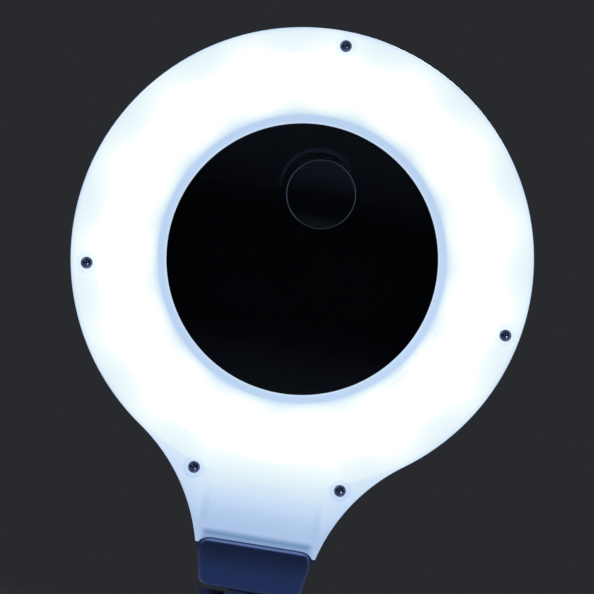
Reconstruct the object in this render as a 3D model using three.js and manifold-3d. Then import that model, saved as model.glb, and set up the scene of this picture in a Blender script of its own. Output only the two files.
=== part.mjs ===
// A desk magnifying lamp: a ring of light round a lens, on a two-section folding arm and a weighted base.
// Millimetres, +Z up. The origin is on the table, under the middle of the base. At rest the head stands
// upright at the top of the arm and shines towards -Y.
import * as THREE from "three";
import { mergeVertices } from "three/addons/utils/BufferGeometryUtils.js";
import Module from "manifold-3d";

const wasm = await Module();
wasm.setup();

// ---------------------------------------------------------------- driving dimensions
const GAP = 0.3; // between touching pieces
const CUT = 0.1; // how far a cutter runs past the face that it opens, or a join into its neighbour
const WALL = 2.2; // moulded shells

// Head, in its own frame: the lens axis is Z, the light shines towards +Z, the neck points to -Y.
const HEAD_R = 81; // outer radius of the ring
const FLARE_R = 65; // hollow curve from the ring into the neck
const FLARE_TURN = 35.2; // degrees from the neck line to where that curve leaves the ring
const HEAD_FRONT = 12;
const HEAD_BACK = -12;
const SHADE_SPLIT = 0.3; // the front covers start here, and the casing ends at 0
const SHADE_EDGE_R = 1.2;
const CASING_EDGE_R = 3;
const APERTURE_R = 48; // clear view through the head
const RIM_R = 52.3; // where the shade's inner cone meets its front

const SHADE_END = 101; // lens axis to the shade's end wall, along the neck
const SHADE_TIP = 103.2; // its two corners reach further, round the neck cover's corners
const SEAM = 1; // open line between the shade and the neck cover
const NECK_END = 118.4; // lens axis to the end of the casing
const NECK_END_HALF = 18.6;
const NECK_CORNER_R = 5;
const NECK_FRONT = 9;
const COVER_HALF = 19.9; // half the neck cover's width at its top
const COVER_CORNER_R = 4.6;

const LENS_R = 50;
const LENS_EDGE = 2.6; // thickness at the rim
const LENS_SAG = 3.6; // bulge of each face
const LIP_SLOPE = 0.6;
const GASKET = 1;
const INSET_R = 12.25;
const INSET_X = 2.9;
const INSET_Y = 23.5;
const INSET_EDGE = 1;
const INSET_SAG = 1.75;

const LED_COUNT = 15;
const LED_CIRCLE_R = 65;
const LED_SIZE = 5;
const LED_HEIGHT = 1.8;
const RING_BOARD_IN_R = 58;
const RING_BOARD_OUT_R = 71.5;
const BOARD = 1.6; // thickness of a circuit board
const BOARD_POSTS = [36, 84, 132, 228, 276, 324]; // degrees, between the LEDs

// Shade screws: [distance from the lens axis, degrees from straight up].
const SHADE_SCREWS = [[76, 2.4], [76, 101.5], [75.5, -100.2], [82.3, 161.6], [82.1, -161.7]];
const SCREW_HEAD_R = 2.1;
const SCREW_HEAD = 1.9;
const SCREW_SHANK_R = 1.25;
const SCREW_REACH = 12.5;
const SCREW_POCKET_R = 3.7;
const SCREW_SEAT = 9; // height of the pocket's floor
const BOSS_R = 4.5;
const PILLAR_R = 2.5;

const BUTTON_Y = -90;
const BUTTON_R = 6;
const BUTTON_FLANGE_R = 7.2;
const SWITCH_BOARD_Z = -2.8; // its front face

const LID_R = 51.5;
const LID_SEAT = HEAD_BACK - 0.4;
const LID_HINGE_Y = 57.5;
const LID_HINGE_Z = -15;
const LID_BARREL_R = 2.6;
const LID_PIN_R = 1.2;
const LID_TAB_HALF = 6;
const LID_LUG_OUT = 10.6;

// Arm hinges: a tongue between two ears on one axle.
const TONGUE_HALF = 7;
const TONGUE_DEEP = 9;
const WASHER = 1;
const WASHER_R = 9;
const EAR_IN = 8.6;
const EAR_OUT = 17.6;
const BARREL_R = 10.5;
const AXLE_R = 3;
const AXLE_HOLE_R = 3.3;
const SLOT_DEPTH = 12; // axle to the floor between the ears
const TONGUE_REACH = 13; // axle to the collar
const COLLAR = 8;
const COLLAR_CORNER_R = 5;
const PLUG = 15; // length inside the tube
const TUBE_X = 32;
const TUBE_Y = 17;
const TUBE_CORNER_R = 6;
const TUBE_WALL = 1.6;
const LEAD_R = 1.5;
const LEAD_HOLE_R = 2.2;
const PLUG_SCREW_R = 1.5;
const PLUG_SCREW_HEAD_R = 2.8;

const HEAD_REACH = 131; // lens axis to the head's tilt axle
const HEAD_AXLE_Z = -1.5; // that axle's place in the neck's thickness
const LOWER_ARM = 190; // axle to axle
const UPPER_ARM = 160;
const LOWER_LEAN = -18; // degrees, forwards positive
const UPPER_LEAN = 14;

const SHOULDER_Z = 58;
const BASE_R = 90;
const BASE_TOP = 27;
const BASE_RIM = 9; // top of the base's upright edge
const BASE_FLAT_R = 30;
const BASE_WALL = 2.4;
const PAD = 2.2;
const PAD_R = 88;
const PLATE = 2;
const PLATE_R = 87;
const WEIGHT = 10;
const WEIGHT_R = 80;
const WEIGHT_HOLE_R = 26;
const TURRET_R = 24;
const TURRET_TOP = 38;
const SPIGOT_R = 14.4;
const BASE_BORE_R = 15;
const TURRET_WASHER_R = 20;
const TURRET_BOLT_R = 2.2;
const BASE_SCREW_CIRCLE_R = 50;
const BASE_BOSS_R = 5;
const INLET_Z = 10;
const INLET_R = 4;

// ---------------------------------------------------------------- materials
const plastic = (color, roughness) => new THREE.MeshStandardMaterial({ color, roughness, metalness: 0 });
const metal = (color, roughness) => new THREE.MeshStandardMaterial({ color, roughness, metalness: 1 });
const frosted = new THREE.MeshStandardMaterial({ color: 0xeef4ff, roughness: 0.45, emissive: 0xe4f0ff });
const casingBlue = plastic(0x2c3c66, 0.45);
const darkBlue = plastic(0x1d2745, 0.6);
const boardWhite = plastic(0xeceee8, 0.5);
const rubber = plastic(0x17181b, 0.85);
const darkSteel = metal(0x2a2f3a, 0.35);
const steel = metal(0xb4b8bd, 0.3);
const aluminium = metal(0xc4c8ce, 0.35);
const castIron = metal(0x4a4c50, 0.7);
const glass = new THREE.MeshStandardMaterial({
  color: 0xe6f0fa,
  roughness: 0.02,
  transparent: true,
  opacity: 0.3,
});

// ---------------------------------------------------------------- solids
const rad = THREE.MathUtils.degToRad;

// A closed geometry as a manifold-3d solid, with its faces turned outwards.
function solid(geometry) {
  const bare = geometry.clone();
  bare.deleteAttribute("normal");
  bare.deleteAttribute("uv");
  const merged = mergeVertices(bare, 1e-4);
  const vertProperties = merged.attributes.position.array;
  const triVerts = new Uint32Array(merged.index.array);
  const made = new wasm.Manifold(new wasm.Mesh({ numProp: 3, vertProperties, triVerts }));
  if (made.volume() > 0) return made;
  for (let i = 0; i < triVerts.length; i += 3) {
    [triVerts[i + 1], triVerts[i + 2]] = [triVerts[i + 2], triVerts[i + 1]];
  }
  return new wasm.Manifold(new wasm.Mesh({ numProp: 3, vertProperties, triVerts }));
}

const join = (first, ...others) => others.reduce((whole, part) => whole.add(part), first);
const cut = (whole, ...tools) => tools.reduce((left, tool) => left.subtract(tool), whole);

// A solid as a named mesh.
function piece(name, made, material) {
  const { vertProperties, triVerts } = made.getMesh();
  const geometry = new THREE.BufferGeometry()
    .setAttribute("position", new THREE.BufferAttribute(vertProperties, 3))
    .setIndex(new THREE.BufferAttribute(triVerts, 1));
  const mesh = new THREE.Mesh(geometry, material);
  mesh.name = name;
  return mesh;
}

function box(x0, x1, y0, y1, z0, z1) {
  const geometry = new THREE.BoxGeometry(x1 - x0, y1 - y0, z1 - z0);
  return solid(geometry.translate((x0 + x1) / 2, (y0 + y1) / 2, (z0 + z1) / 2));
}

// Round bars along X, Y and Z.
function barX(r, x0, x1, y = 0, z = 0, sides = 24) {
  const geometry = new THREE.CylinderGeometry(r, r, x1 - x0, sides).rotateZ(Math.PI / 2);
  return solid(geometry.translate((x0 + x1) / 2, y, z));
}

function barY(r, y0, y1, x = 0, z = 0, sides = 16) {
  return solid(new THREE.CylinderGeometry(r, r, y1 - y0, sides).translate(x, (y0 + y1) / 2, z));
}

function barZ(r, z0, z1, x = 0, y = 0, sides = 16) {
  const geometry = new THREE.CylinderGeometry(r, r, z1 - z0, sides).rotateX(Math.PI / 2);
  return solid(geometry.translate(x, y, (z0 + z1) / 2));
}

// A profile of [radius, height] points turned round the Z axis. Off the axis it closes on itself.
function turned(profile, sides, x = 0, y = 0) {
  const points = profile.map(([r, z]) => new THREE.Vector2(r, z));
  if (profile[0][0] > 0) points.push(points[0].clone());
  return solid(new THREE.LatheGeometry(points, sides).rotateX(Math.PI / 2).translate(x, y, 0));
}

function ring(inner, outer, z0, z1, sides) {
  return turned([[inner, z0], [outer, z0], [outer, z1], [inner, z1]], sides);
}

// A flat shape raised along Z, with its long edges rounded by the radius given.
function raised(shape, z0, z1, { edge = 0, arcSteps = 2, edgeSteps = 2 } = {}) {
  const apart = (point, i, all) => point.distanceTo(all[(i + all.length - 1) % all.length]) > 1e-3;
  const geometry = new THREE.ExtrudeGeometry(new THREE.Shape(shape.getPoints(arcSteps).filter(apart)), {
    depth: z1 - z0 - 2 * edge,
    bevelEnabled: edge > 0,
    bevelThickness: edge,
    bevelSize: edge,
    bevelOffset: -edge,
    bevelSegments: edgeSteps,
  });
  return solid(geometry.translate(0, 0, z0 + edge));
}

function roundedRectangle(width, height, r) {
  const [x, y] = [width / 2 - r, height / 2 - r];
  return new THREE.Shape()
    .absarc(x, -y, r, -Math.PI / 2, 0)
    .absarc(x, y, r, 0, Math.PI / 2)
    .absarc(-x, y, r, Math.PI / 2, Math.PI)
    .absarc(-x, -y, r, Math.PI, Math.PI * 1.5);
}

// ---------------------------------------------------------------- head outlines
const FLARE_X = (HEAD_R + FLARE_R) * Math.sin(rad(FLARE_TURN));
const FLARE_Y = -(HEAD_R + FLARE_R) * Math.cos(rad(FLARE_TURN));
const COVER_TOP = SHADE_END + SEAM;
const OUTLINE_STEPS = { arcSteps: 7, edgeSteps: 2 };
const LENS_SIDES = 44;

// Adds the right-hand hollow curve from the height given, the ring, and the left-hand curve back down.
function addRing(shape, inset, startY) {
  const turn = rad(FLARE_TURN);
  const r = FLARE_R + inset;
  const rise = Math.asin((startY - FLARE_Y) / r);
  return shape
    .absarc(FLARE_X, FLARE_Y, r, Math.PI - rise, Math.PI / 2 + turn, true)
    .absarc(0, 0, HEAD_R - inset, turn - Math.PI / 2, Math.PI / 2)
    .absarc(0, 0, HEAD_R - inset, Math.PI / 2, Math.PI * 1.5 - turn)
    .absarc(-FLARE_X, FLARE_Y, r, Math.PI / 2 - turn, rise, true);
}

// The ring and the flare, closed straight across at the end given.
const shadeOutline = (inset, end) => addRing(new THREE.Shape(), inset, -end);

// The ring, the flare and the tapered neck down to its rounded end, all moved inwards by the inset.
function casingOutline(inset) {
  const [x, y] = [NECK_END_HALF - inset, inset - NECK_END];
  const r = NECK_CORNER_R - inset / 2;
  const shape = new THREE.Shape().moveTo(x - r, y);
  shape.quadraticCurveTo(x, y, x, y + r);
  addRing(shape, inset, -COVER_TOP);
  shape.lineTo(-x, y + r);
  shape.quadraticCurveTo(-x, y, r - x, y);
  return shape;
}

// The neck cover's front: two rounded corners at its top, tapering down to the height given.
function coverOutline(grow, end) {
  const [top, half, endHalf] = [grow - COVER_TOP, COVER_HALF + grow, NECK_END_HALF + grow];
  const r = COVER_CORNER_R + grow;
  const corner = grow ? 0 : NECK_CORNER_R;
  const shape = new THREE.Shape().moveTo(half, top - r);
  shape.quadraticCurveTo(half, top, half - r, top);
  shape.lineTo(r - half, top);
  shape.quadraticCurveTo(-half, top, -half, top - r);
  shape.lineTo(-endHalf, corner - end);
  shape.quadraticCurveTo(-endHalf, -end, corner - endHalf, -end);
  shape.lineTo(endHalf - corner, -end);
  shape.quadraticCurveTo(endHalf, -end, endHalf, corner - end);
  return shape;
}

// ---------------------------------------------------------------- head
const screwPlaces = SHADE_SCREWS.map(([r, turn]) => [r * Math.sin(rad(turn)), r * Math.cos(rad(turn))]);
const PILLAR_TOP = SCREW_SEAT - WALL - GAP;

function lightShade() {
  const lipZ = LENS_EDGE / 2 + GAP;
  const lipInZ = lipZ + LIP_SLOPE; // the lip leans inwards, as the lens does
  const outer = raised(shadeOutline(0, SHADE_TIP), -SHADE_EDGE_R - 1, HEAD_FRONT, {
    edge: SHADE_EDGE_R,
    ...OUTLINE_STEPS,
  });
  const hollow = raised(shadeOutline(WALL, SHADE_END - WALL), -1, HEAD_FRONT - WALL, OUTLINE_STEPS);
  const cone = turned(
    [
      [APERTURE_R - 1, lipInZ],
      [LENS_R, lipZ],
      [RIM_R + WALL, HEAD_FRONT - WALL - CUT],
      [RIM_R + WALL, HEAD_FRONT],
      [APERTURE_R - 1, HEAD_FRONT],
    ],
    LENS_SIDES,
  );
  const view = turned(
    [
      [0, -5],
      [APERTURE_R, -5],
      [APERTURE_R, lipInZ],
      [RIM_R, HEAD_FRONT],
      [RIM_R, HEAD_FRONT + 1],
      [0, HEAD_FRONT + 1],
    ],
    LENS_SIDES,
  );
  const backHalf = box(-100, 100, -120, 100, -5, SHADE_SPLIT);
  const seam = raised(coverOutline(SEAM, NECK_END), -1, HEAD_FRONT + 1);
  let shade = cut(join(cut(outer, hollow), cone), view, backHalf, seam);
  for (const [x, y] of screwPlaces) {
    shade = cut(
      join(shade, barZ(BOSS_R, SCREW_SEAT - WALL, HEAD_FRONT - WALL + CUT, x, y)),
      barZ(SCREW_POCKET_R, SCREW_SEAT, HEAD_FRONT + CUT, x, y),
      barZ(SCREW_SHANK_R + GAP, SCREW_SEAT - WALL - CUT, SCREW_SEAT + CUT, x, y, 12),
    );
  }
  return shade;
}

// The seat that holds the lens and its gasket, open towards the front.
function lensSeat() {
  const [bore, outer] = [LENS_R + 2 * GAP, LENS_R + 2 * GAP + WALL];
  const ledge = -LENS_EDGE / 2 - GASKET - 2 * GAP;
  const profile = [
    [APERTURE_R - 1, HEAD_BACK],
    [outer, HEAD_BACK],
    [outer, LENS_EDGE / 2],
    [bore, LENS_EDGE / 2],
    [bore, ledge],
    [APERTURE_R - 1, ledge],
  ];
  return turned(profile, LENS_SIDES);
}

function headCasing() {
  const floor = HEAD_BACK + WALL;
  const tray = raised(casingOutline(0), HEAD_BACK, CASING_EDGE_R + 1, {
    edge: CASING_EDGE_R,
    ...OUTLINE_STEPS,
  });
  const hollow = raised(casingOutline(WALL), floor, CASING_EDGE_R + 2, OUTLINE_STEPS);
  const sill = box(-COVER_HALF, COVER_HALF, -COVER_TOP - WALL, -SHADE_END + WALL, -WALL, 0);
  const sillEnds = raised(casingOutline(CUT), -WALL, 0, OUTLINE_STEPS);
  const frontHalf = cut(box(-100, 100, -130, 100, 0, 10), barZ(LENS_R + 2 * GAP + WALL + 1, -1, 11));
  const view = barZ(APERTURE_R, HEAD_BACK - 1, 5, 0, 0, LENS_SIDES);
  const posts = BOARD_POSTS.map((turn) =>
    barZ(2.5, floor - CUT, -GAP, LED_CIRCLE_R * Math.sin(rad(turn)), LED_CIRCLE_R * Math.cos(rad(turn)), 10),
  );
  let casing = cut(join(cut(tray, hollow), lensSeat(), sill.intersect(sillEnds), ...posts), view, frontHalf);
  for (const [x, y] of screwPlaces) {
    casing = cut(
      join(casing, barZ(PILLAR_R, floor - CUT, PILLAR_TOP, x, y, 12)),
      barZ(SCREW_SHANK_R + GAP, SCREW_SEAT - SCREW_REACH - 2, PILLAR_TOP + CUT, x, y, 12),
    );
  }
  return cut(join(casing, neckTongue(), ...switchPosts(), ...lidLugs()), buttonHole(), neckAxleHole());
}

// The tongue below the neck that the arm's ears hold.
function neckTongue() {
  const [back, front] = [HEAD_AXLE_Z - TONGUE_DEEP, HEAD_AXLE_Z + TONGUE_DEEP];
  return join(
    barX(BARREL_R, -TONGUE_HALF, TONGUE_HALF, -HEAD_REACH, HEAD_AXLE_Z),
    box(-TONGUE_HALF, TONGUE_HALF, -HEAD_REACH, -NECK_END - GAP, back, front),
    box(-TONGUE_HALF, TONGUE_HALF, -HEAD_REACH, -NECK_END + 1, back, 0),
  );
}

const neckAxleHole = () => barX(AXLE_HOLE_R, -10, 10, -HEAD_REACH, HEAD_AXLE_Z);
const buttonHole = () => barZ(BUTTON_R + GAP, HEAD_BACK - 1, HEAD_BACK + WALL + CUT, 0, BUTTON_Y, 24);

function switchPosts() {
  const corners = [[-9, -6], [9, -6], [9, 6], [-9, 6]];
  const top = SWITCH_BOARD_Z - BOARD - GAP;
  return corners.map(([x, y]) => barZ(1.6, HEAD_BACK + WALL - CUT, top, x, BUTTON_Y + y, 8));
}

// Two lugs on the back of the casing that hold the lid's pin.
function lidLugs() {
  const [inner, outer] = [LID_TAB_HALF + 2 * GAP, LID_LUG_OUT];
  return [[-outer, -inner], [inner, outer]].map(([x0, x1]) =>
    cut(
      join(
        barX(LID_BARREL_R, x0, x1, LID_HINGE_Y, LID_HINGE_Z, 16),
        box(x0, x1, LID_HINGE_Y - LID_BARREL_R, LID_HINGE_Y + LID_BARREL_R, LID_HINGE_Z, HEAD_BACK + 1),
      ),
      barX(LID_PIN_R + GAP, x0 - 1, x1 + 1, LID_HINGE_Y, LID_HINGE_Z, 10),
    ),
  );
}

function neckCover() {
  return cut(
    raised(coverOutline(0, NECK_END), SHADE_SPLIT - SHADE_EDGE_R - 1, NECK_FRONT, { edge: SHADE_EDGE_R }),
    raised(coverOutline(-WALL, NECK_END - WALL), -3, NECK_FRONT - WALL),
    box(-30, 30, -130, 0, -5, SHADE_SPLIT),
  );
}

// Points on a shallow bulge, from the axis out to the rim.
function bulge(r, sag, rimZ, steps) {
  const sphere = (r * r + sag * sag) / (2 * Math.abs(sag));
  return Array.from({ length: steps + 1 }, (_, i) => {
    const at = (r * i) / steps;
    return [at, rimZ + Math.sign(sag) * (Math.sqrt(sphere * sphere - at * at) - sphere + Math.abs(sag))];
  });
}

function mainLens() {
  const front = bulge(LENS_R, LENS_SAG, LENS_EDGE / 2, 4);
  const back = bulge(LENS_R, -LENS_SAG, -LENS_EDGE / 2, 4);
  return turned([...back, ...front.reverse()], LENS_SIDES);
}

// The strong lens on the front of the main one, turned to lie along its curve.
function insetLens() {
  const front = bulge(INSET_R, INSET_SAG, INSET_EDGE, 3);
  const lens = turned([[0, 0], [INSET_R, 0], ...front.reverse()], 32);
  const off = Math.hypot(INSET_X, INSET_Y);
  const sphere = (LENS_R ** 2 + LENS_SAG ** 2) / (2 * LENS_SAG);
  const lean = Math.asin(off / sphere);
  const frontZ = LENS_EDGE / 2 + Math.sqrt(sphere ** 2 - off ** 2) - sphere + LENS_SAG;
  const mesh = piece("inset_lens", lens, glass);
  mesh.position.set(INSET_X, INSET_Y, frontZ + GAP);
  mesh.rotation.set((-lean * INSET_Y) / off, (lean * INSET_X) / off, 0);
  return mesh;
}

function lensGasket() {
  const back = -LENS_EDGE / 2 - GAP - GASKET;
  return ring(APERTURE_R + GAP, LENS_R + GAP, back, back + GASKET, LENS_SIDES);
}

function ledBoard() {
  let board = ring(RING_BOARD_IN_R, RING_BOARD_OUT_R, 0, BOARD, 45);
  for (let i = 0; i < LED_COUNT; i++) {
    const led = new THREE.BoxGeometry(LED_SIZE, LED_SIZE, LED_HEIGHT + CUT)
      .translate(0, LED_CIRCLE_R, BOARD - CUT + (LED_HEIGHT + CUT) / 2)
      .rotateZ((-i * 2 * Math.PI) / LED_COUNT);
    board = board.add(solid(led));
  }
  return board;
}

function shadeScrew() {
  const under = SCREW_SEAT + GAP;
  const slotFloor = under + SCREW_HEAD - 1;
  const profile = [
    [0, SCREW_SEAT - SCREW_REACH],
    [SCREW_SHANK_R, SCREW_SEAT - SCREW_REACH + 1],
    [SCREW_SHANK_R, under],
    [SCREW_HEAD_R, under],
    [SCREW_HEAD_R, under + 0.9],
    [SCREW_HEAD_R - 0.6, under + SCREW_HEAD - 0.2],
    [0, under + SCREW_HEAD],
  ];
  return cut(
    turned(profile, 12),
    box(-1.3, 1.3, -0.3, 0.3, slotFloor, HEAD_FRONT),
    box(-0.3, 0.3, -1.3, 1.3, slotFloor, HEAD_FRONT),
  );
}

// The board behind the power button, with its switch.
function switchBoard() {
  const back = SWITCH_BOARD_Z - BOARD;
  return join(
    box(-11, 11, BUTTON_Y - 8, BUTTON_Y + 8, back, SWITCH_BOARD_Z),
    box(-3, 3, BUTTON_Y - 3, BUTTON_Y + 3, back - 2, back + CUT),
    barZ(1.6, back - 2.6, back - 2 + CUT, 0, BUTTON_Y, 16),
  );
}

function powerButton() {
  const [face, inner] = [HEAD_BACK - 1.3, HEAD_BACK + WALL + GAP];
  const profile = [
    [0, face],
    [BUTTON_R - 1.4, face + 0.1],
    [BUTTON_R, face + 0.9],
    [BUTTON_R, inner],
    [BUTTON_FLANGE_R, inner],
    [BUTTON_FLANGE_R, inner + 1],
    [0, inner + 1],
  ];
  return turned(profile, 24, 0, BUTTON_Y);
}

// The wires from the ring board to the switch board, and from there down the neck.
function headLead() {
  const [low, high] = [-RING_BOARD_OUT_R + 4, -RING_BOARD_OUT_R + 7];
  return join(
    box(-1.2, 1.2, low, high, -4.6, -GAP),
    box(-1.2, 1.2, BUTTON_Y + 8 + GAP, high, -4.6, SWITCH_BOARD_Z),
  );
}

const neckLead = () => barY(LEAD_R, WALL + GAP - NECK_END, BUTTON_Y - 8 - GAP, 0, HEAD_AXLE_Z - 4, 12);

// The hinged lid over the back of the lens.
function lensLid() {
  const dish = turned(
    [
      [0, LID_SEAT - 2.5],
      [44, LID_SEAT - 0.8],
      [49, LID_SEAT],
      [LID_R, LID_SEAT],
      [LID_R, LID_SEAT - 1.2],
      [47, LID_SEAT - 2.9],
      [24, LID_SEAT - 4.3],
      [0, LID_SEAT - 4.8],
    ],
    LENS_SIDES,
  );
  return cut(
    join(
      dish,
      barZ(7, LID_SEAT - 1.4, LID_SEAT - CUT, 0, 2.5 - LID_R),
      box(-LID_TAB_HALF, LID_TAB_HALF, 48, LID_HINGE_Y, LID_HINGE_Z - 1, LID_HINGE_Z + 1.4),
      barX(LID_BARREL_R, -LID_TAB_HALF, LID_TAB_HALF, LID_HINGE_Y, LID_HINGE_Z, 16),
    ),
    barX(LID_PIN_R + GAP, -9, 9, LID_HINGE_Y, LID_HINGE_Z, 10),
  );
}

// The head on its tilt axle: the group's origin is on the axle.
function head() {
  const frame = new THREE.Group();
  frame.rotation.x = Math.PI / 2;
  frame.position.set(0, HEAD_AXLE_Z, HEAD_REACH);
  frame.add(
    piece("light_shade", lightShade(), frosted),
    piece("neck_cover", neckCover(), casingBlue),
    piece("head_casing", headCasing(), casingBlue),
    piece("led_board", ledBoard(), boardWhite),
    piece("main_lens", mainLens(), glass),
    insetLens(),
    piece("lens_gasket", lensGasket(), rubber),
    piece("switch_board", switchBoard(), boardWhite),
    piece("head_lead", headLead(), rubber),
    piece("neck_lead", neckLead(), rubber),
    piece("lens_lid", lensLid(), darkBlue),
    piece("lid_pin", barX(LID_PIN_R, -LID_LUG_OUT, LID_LUG_OUT, LID_HINGE_Y, LID_HINGE_Z, 10), steel),
    piece("power_button", powerButton(), rubber),
  );
  screwPlaces.forEach(([x, y], i) => {
    const screw = piece(`shade_screw_${i + 1}`, shadeScrew(), darkSteel);
    screw.position.set(x, y, 0);
    screw.rotation.z = i * 0.7;
    frame.add(screw);
  });
  const group = new THREE.Group();
  group.add(frame);
  return group;
}

// ---------------------------------------------------------------- arm
const INNER_X = TUBE_X - 2 * TUBE_WALL;
const INNER_Y = TUBE_Y - 2 * TUBE_WALL;
const INNER_CORNER_R = TUBE_CORNER_R - TUBE_WALL;
const plugShape = () => roundedRectangle(INNER_X - 2 * GAP, INNER_Y - 2 * GAP, INNER_CORNER_R - GAP);
const collarShape = () => roundedRectangle(2 * EAR_OUT, 2 * BARREL_R, COLLAR_CORNER_R);

// Two ears round the axle at the origin, on a block that goes down to z = -depth.
function ears(depth) {
  const block = raised(collarShape(), -depth, BARREL_R);
  const side = join(barX(BARREL_R, -EAR_OUT, EAR_OUT), box(-EAR_OUT, EAR_OUT, -BARREL_R, BARREL_R, -depth, 0));
  return cut(
    block.intersect(side),
    box(-EAR_IN, EAR_IN, -20, 20, -SLOT_DEPTH, 20),
    barX(AXLE_HOLE_R, -EAR_OUT - 1, EAR_OUT + 1),
  );
}

// A screw hole through the back wall of a tube and into the plug.
const plugScrewHole = (z) => barY(PLUG_SCREW_R + GAP, 3.5, TUBE_Y, 0, z, 10);

// The fork at the top of an arm, with its plug inside the tube.
function fork() {
  const depth = SLOT_DEPTH + COLLAR;
  return cut(
    join(ears(depth), raised(plugShape(), -depth - PLUG, CUT - depth)),
    barZ(LEAD_HOLE_R, -depth - PLUG - 1, 1 - SLOT_DEPTH, 0, 0, 12),
    plugScrewHole(-depth - PLUG / 2),
  );
}

// The tongue at the bottom of an arm, with its plug inside the tube.
function tongue() {
  const top = TONGUE_REACH + COLLAR;
  return cut(
    join(
      barX(BARREL_R, -TONGUE_HALF, TONGUE_HALF),
      box(-TONGUE_HALF, TONGUE_HALF, -TONGUE_DEEP, TONGUE_DEEP, 0, TONGUE_REACH + 1),
      raised(collarShape(), TONGUE_REACH, top),
      raised(plugShape(), top - CUT, top + PLUG),
    ),
    barX(AXLE_HOLE_R, -10, 10),
    barZ(LEAD_HOLE_R, TONGUE_REACH + 1, top + PLUG + 1, 0, 0, 12),
    plugScrewHole(top + PLUG / 2),
  );
}

function plugScrew(name, z) {
  const face = TUBE_Y / 2 + GAP;
  const screw = join(
    barY(PLUG_SCREW_R, 4, face + CUT, 0, z, 10),
    barY(PLUG_SCREW_HEAD_R, face, face + 1.5, 0, z, 12),
  );
  return piece(name, screw, darkSteel);
}

function armTube(length) {
  const bottom = TONGUE_REACH + COLLAR + GAP;
  const top = length - SLOT_DEPTH - COLLAR - GAP;
  return cut(
    raised(roundedRectangle(TUBE_X, TUBE_Y, TUBE_CORNER_R), bottom, top),
    raised(roundedRectangle(INNER_X, INNER_Y, INNER_CORNER_R), bottom - 1, top + 1),
    plugScrewHole(bottom - GAP + PLUG / 2),
    plugScrewHole(top + GAP - PLUG / 2),
  );
}

// Axle bolt, cap nut and two friction washers of one hinge, along Z until the group is turned.
function hingeHardware(name) {
  const face = EAR_OUT + GAP;
  const axle = [[0, -EAR_OUT - 4], [AXLE_R, -EAR_OUT - 4], [AXLE_R, face], [6.5, face], [6.5, face + 1.4]];
  const nut = [[0, -face - 6], [4.2, -face - 5], [6, -face - 2.8], [6, -face], [AXLE_HOLE_R, -face]];
  const [near, far] = [TONGUE_HALF + GAP, TONGUE_HALF + GAP + WASHER];
  const group = new THREE.Group();
  group.rotation.y = Math.PI / 2;
  group.add(
    piece(`${name}_axle`, turned([...axle, [4.8, face + 2.7], [0, face + 3.2]], 20), steel),
    piece(`${name}_nut`, turned([...nut, [AXLE_HOLE_R, -EAR_OUT - 4.4], [0, -EAR_OUT - 4.4]], 20), steel),
    piece(`${name}_washer_left`, ring(AXLE_HOLE_R, WASHER_R, -far, -near, 24), rubber),
    piece(`${name}_washer_right`, ring(AXLE_HOLE_R, WASHER_R, near, far, 24), rubber),
  );
  return group;
}

// One arm section: its bottom axle is at the group's origin, its top axle at z = length.
function armSection(name, topHinge, length) {
  const top = new THREE.Group();
  top.position.z = length;
  top.add(piece(`${name}_fork`, fork(), casingBlue), hingeHardware(topHinge));
  const group = new THREE.Group();
  group.add(
    piece(`${name}_tube`, armTube(length), aluminium),
    piece(`${name}_tongue`, tongue(), casingBlue),
    piece(`${name}_lead`, barZ(LEAD_R, TONGUE_REACH + 2, length - SLOT_DEPTH - 1, 0, 0, 12), rubber),
    plugScrew(`${name}_screw_bottom`, TONGUE_REACH + COLLAR + PLUG / 2),
    plugScrew(`${name}_screw_top`, length - SLOT_DEPTH - COLLAR - PLUG / 2),
    top,
  );
  return group;
}

// ---------------------------------------------------------------- base
const BASE_SIDES = 44;
const BASE_BOTTOM = PAD + GAP;
const PLATE_TOP = BASE_BOTTOM + PLATE;
const SPIGOT_END = BASE_TOP - BASE_WALL - GAP;
const baseScrewPlaces = [-90, 30, 150].map((turn) => [
  BASE_SCREW_CIRCLE_R * Math.cos(rad(turn)),
  BASE_SCREW_CIRCLE_R * Math.sin(rad(turn)),
]);

// The turret that turns on the base and carries the lowest hinge: the axle is at the origin.
function turret() {
  const [bottom, top, spigot] = [BASE_TOP + GAP, TURRET_TOP, SPIGOT_END].map((z) => z - SHOULDER_Z);
  const profile = [
    [0, spigot],
    [SPIGOT_R, spigot],
    [SPIGOT_R, bottom],
    [TURRET_R, bottom],
    [TURRET_R, top - 4],
    [TURRET_R - 0.9, top - 1.5],
    [TURRET_R - 3, top],
    [0, top],
  ];
  const bolt = barZ(TURRET_BOLT_R + GAP, spigot - 1, top - 2, 0, 0, 12);
  return cut(join(turned(profile, 32), ears(CUT - top)), bolt);
}

// The dome's outline, from its rim to its flat top, moved inwards by the inset.
function domeProfile(inset, steps) {
  return Array.from({ length: steps + 1 }, (_, i) => {
    const turn = (i / steps) * (Math.PI / 2);
    const across = (BASE_R - BASE_FLAT_R - inset) * Math.cos(turn);
    return [BASE_FLAT_R + across, BASE_RIM + (BASE_TOP - BASE_RIM - inset) * Math.sin(turn)];
  });
}

function baseCover() {
  const profile = [
    [BASE_R - BASE_WALL, BASE_BOTTOM],
    [BASE_R, BASE_BOTTOM],
    ...domeProfile(0, 6),
    [BASE_BORE_R, BASE_TOP],
    [BASE_BORE_R, BASE_TOP - BASE_WALL],
    ...domeProfile(BASE_WALL, 6).reverse(),
  ];
  let cover = cut(turned(profile, BASE_SIDES), barY(INLET_R + GAP, 80, BASE_R + 2, 0, INLET_Z));
  for (const [x, y] of baseScrewPlaces) {
    cover = cut(
      join(cover, barZ(BASE_BOSS_R, PLATE_TOP + GAP, BASE_TOP - BASE_WALL, x, y, 12)),
      barZ(2.2, PLATE_TOP, 18, x, y, 10),
    );
  }
  return cover;
}

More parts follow.
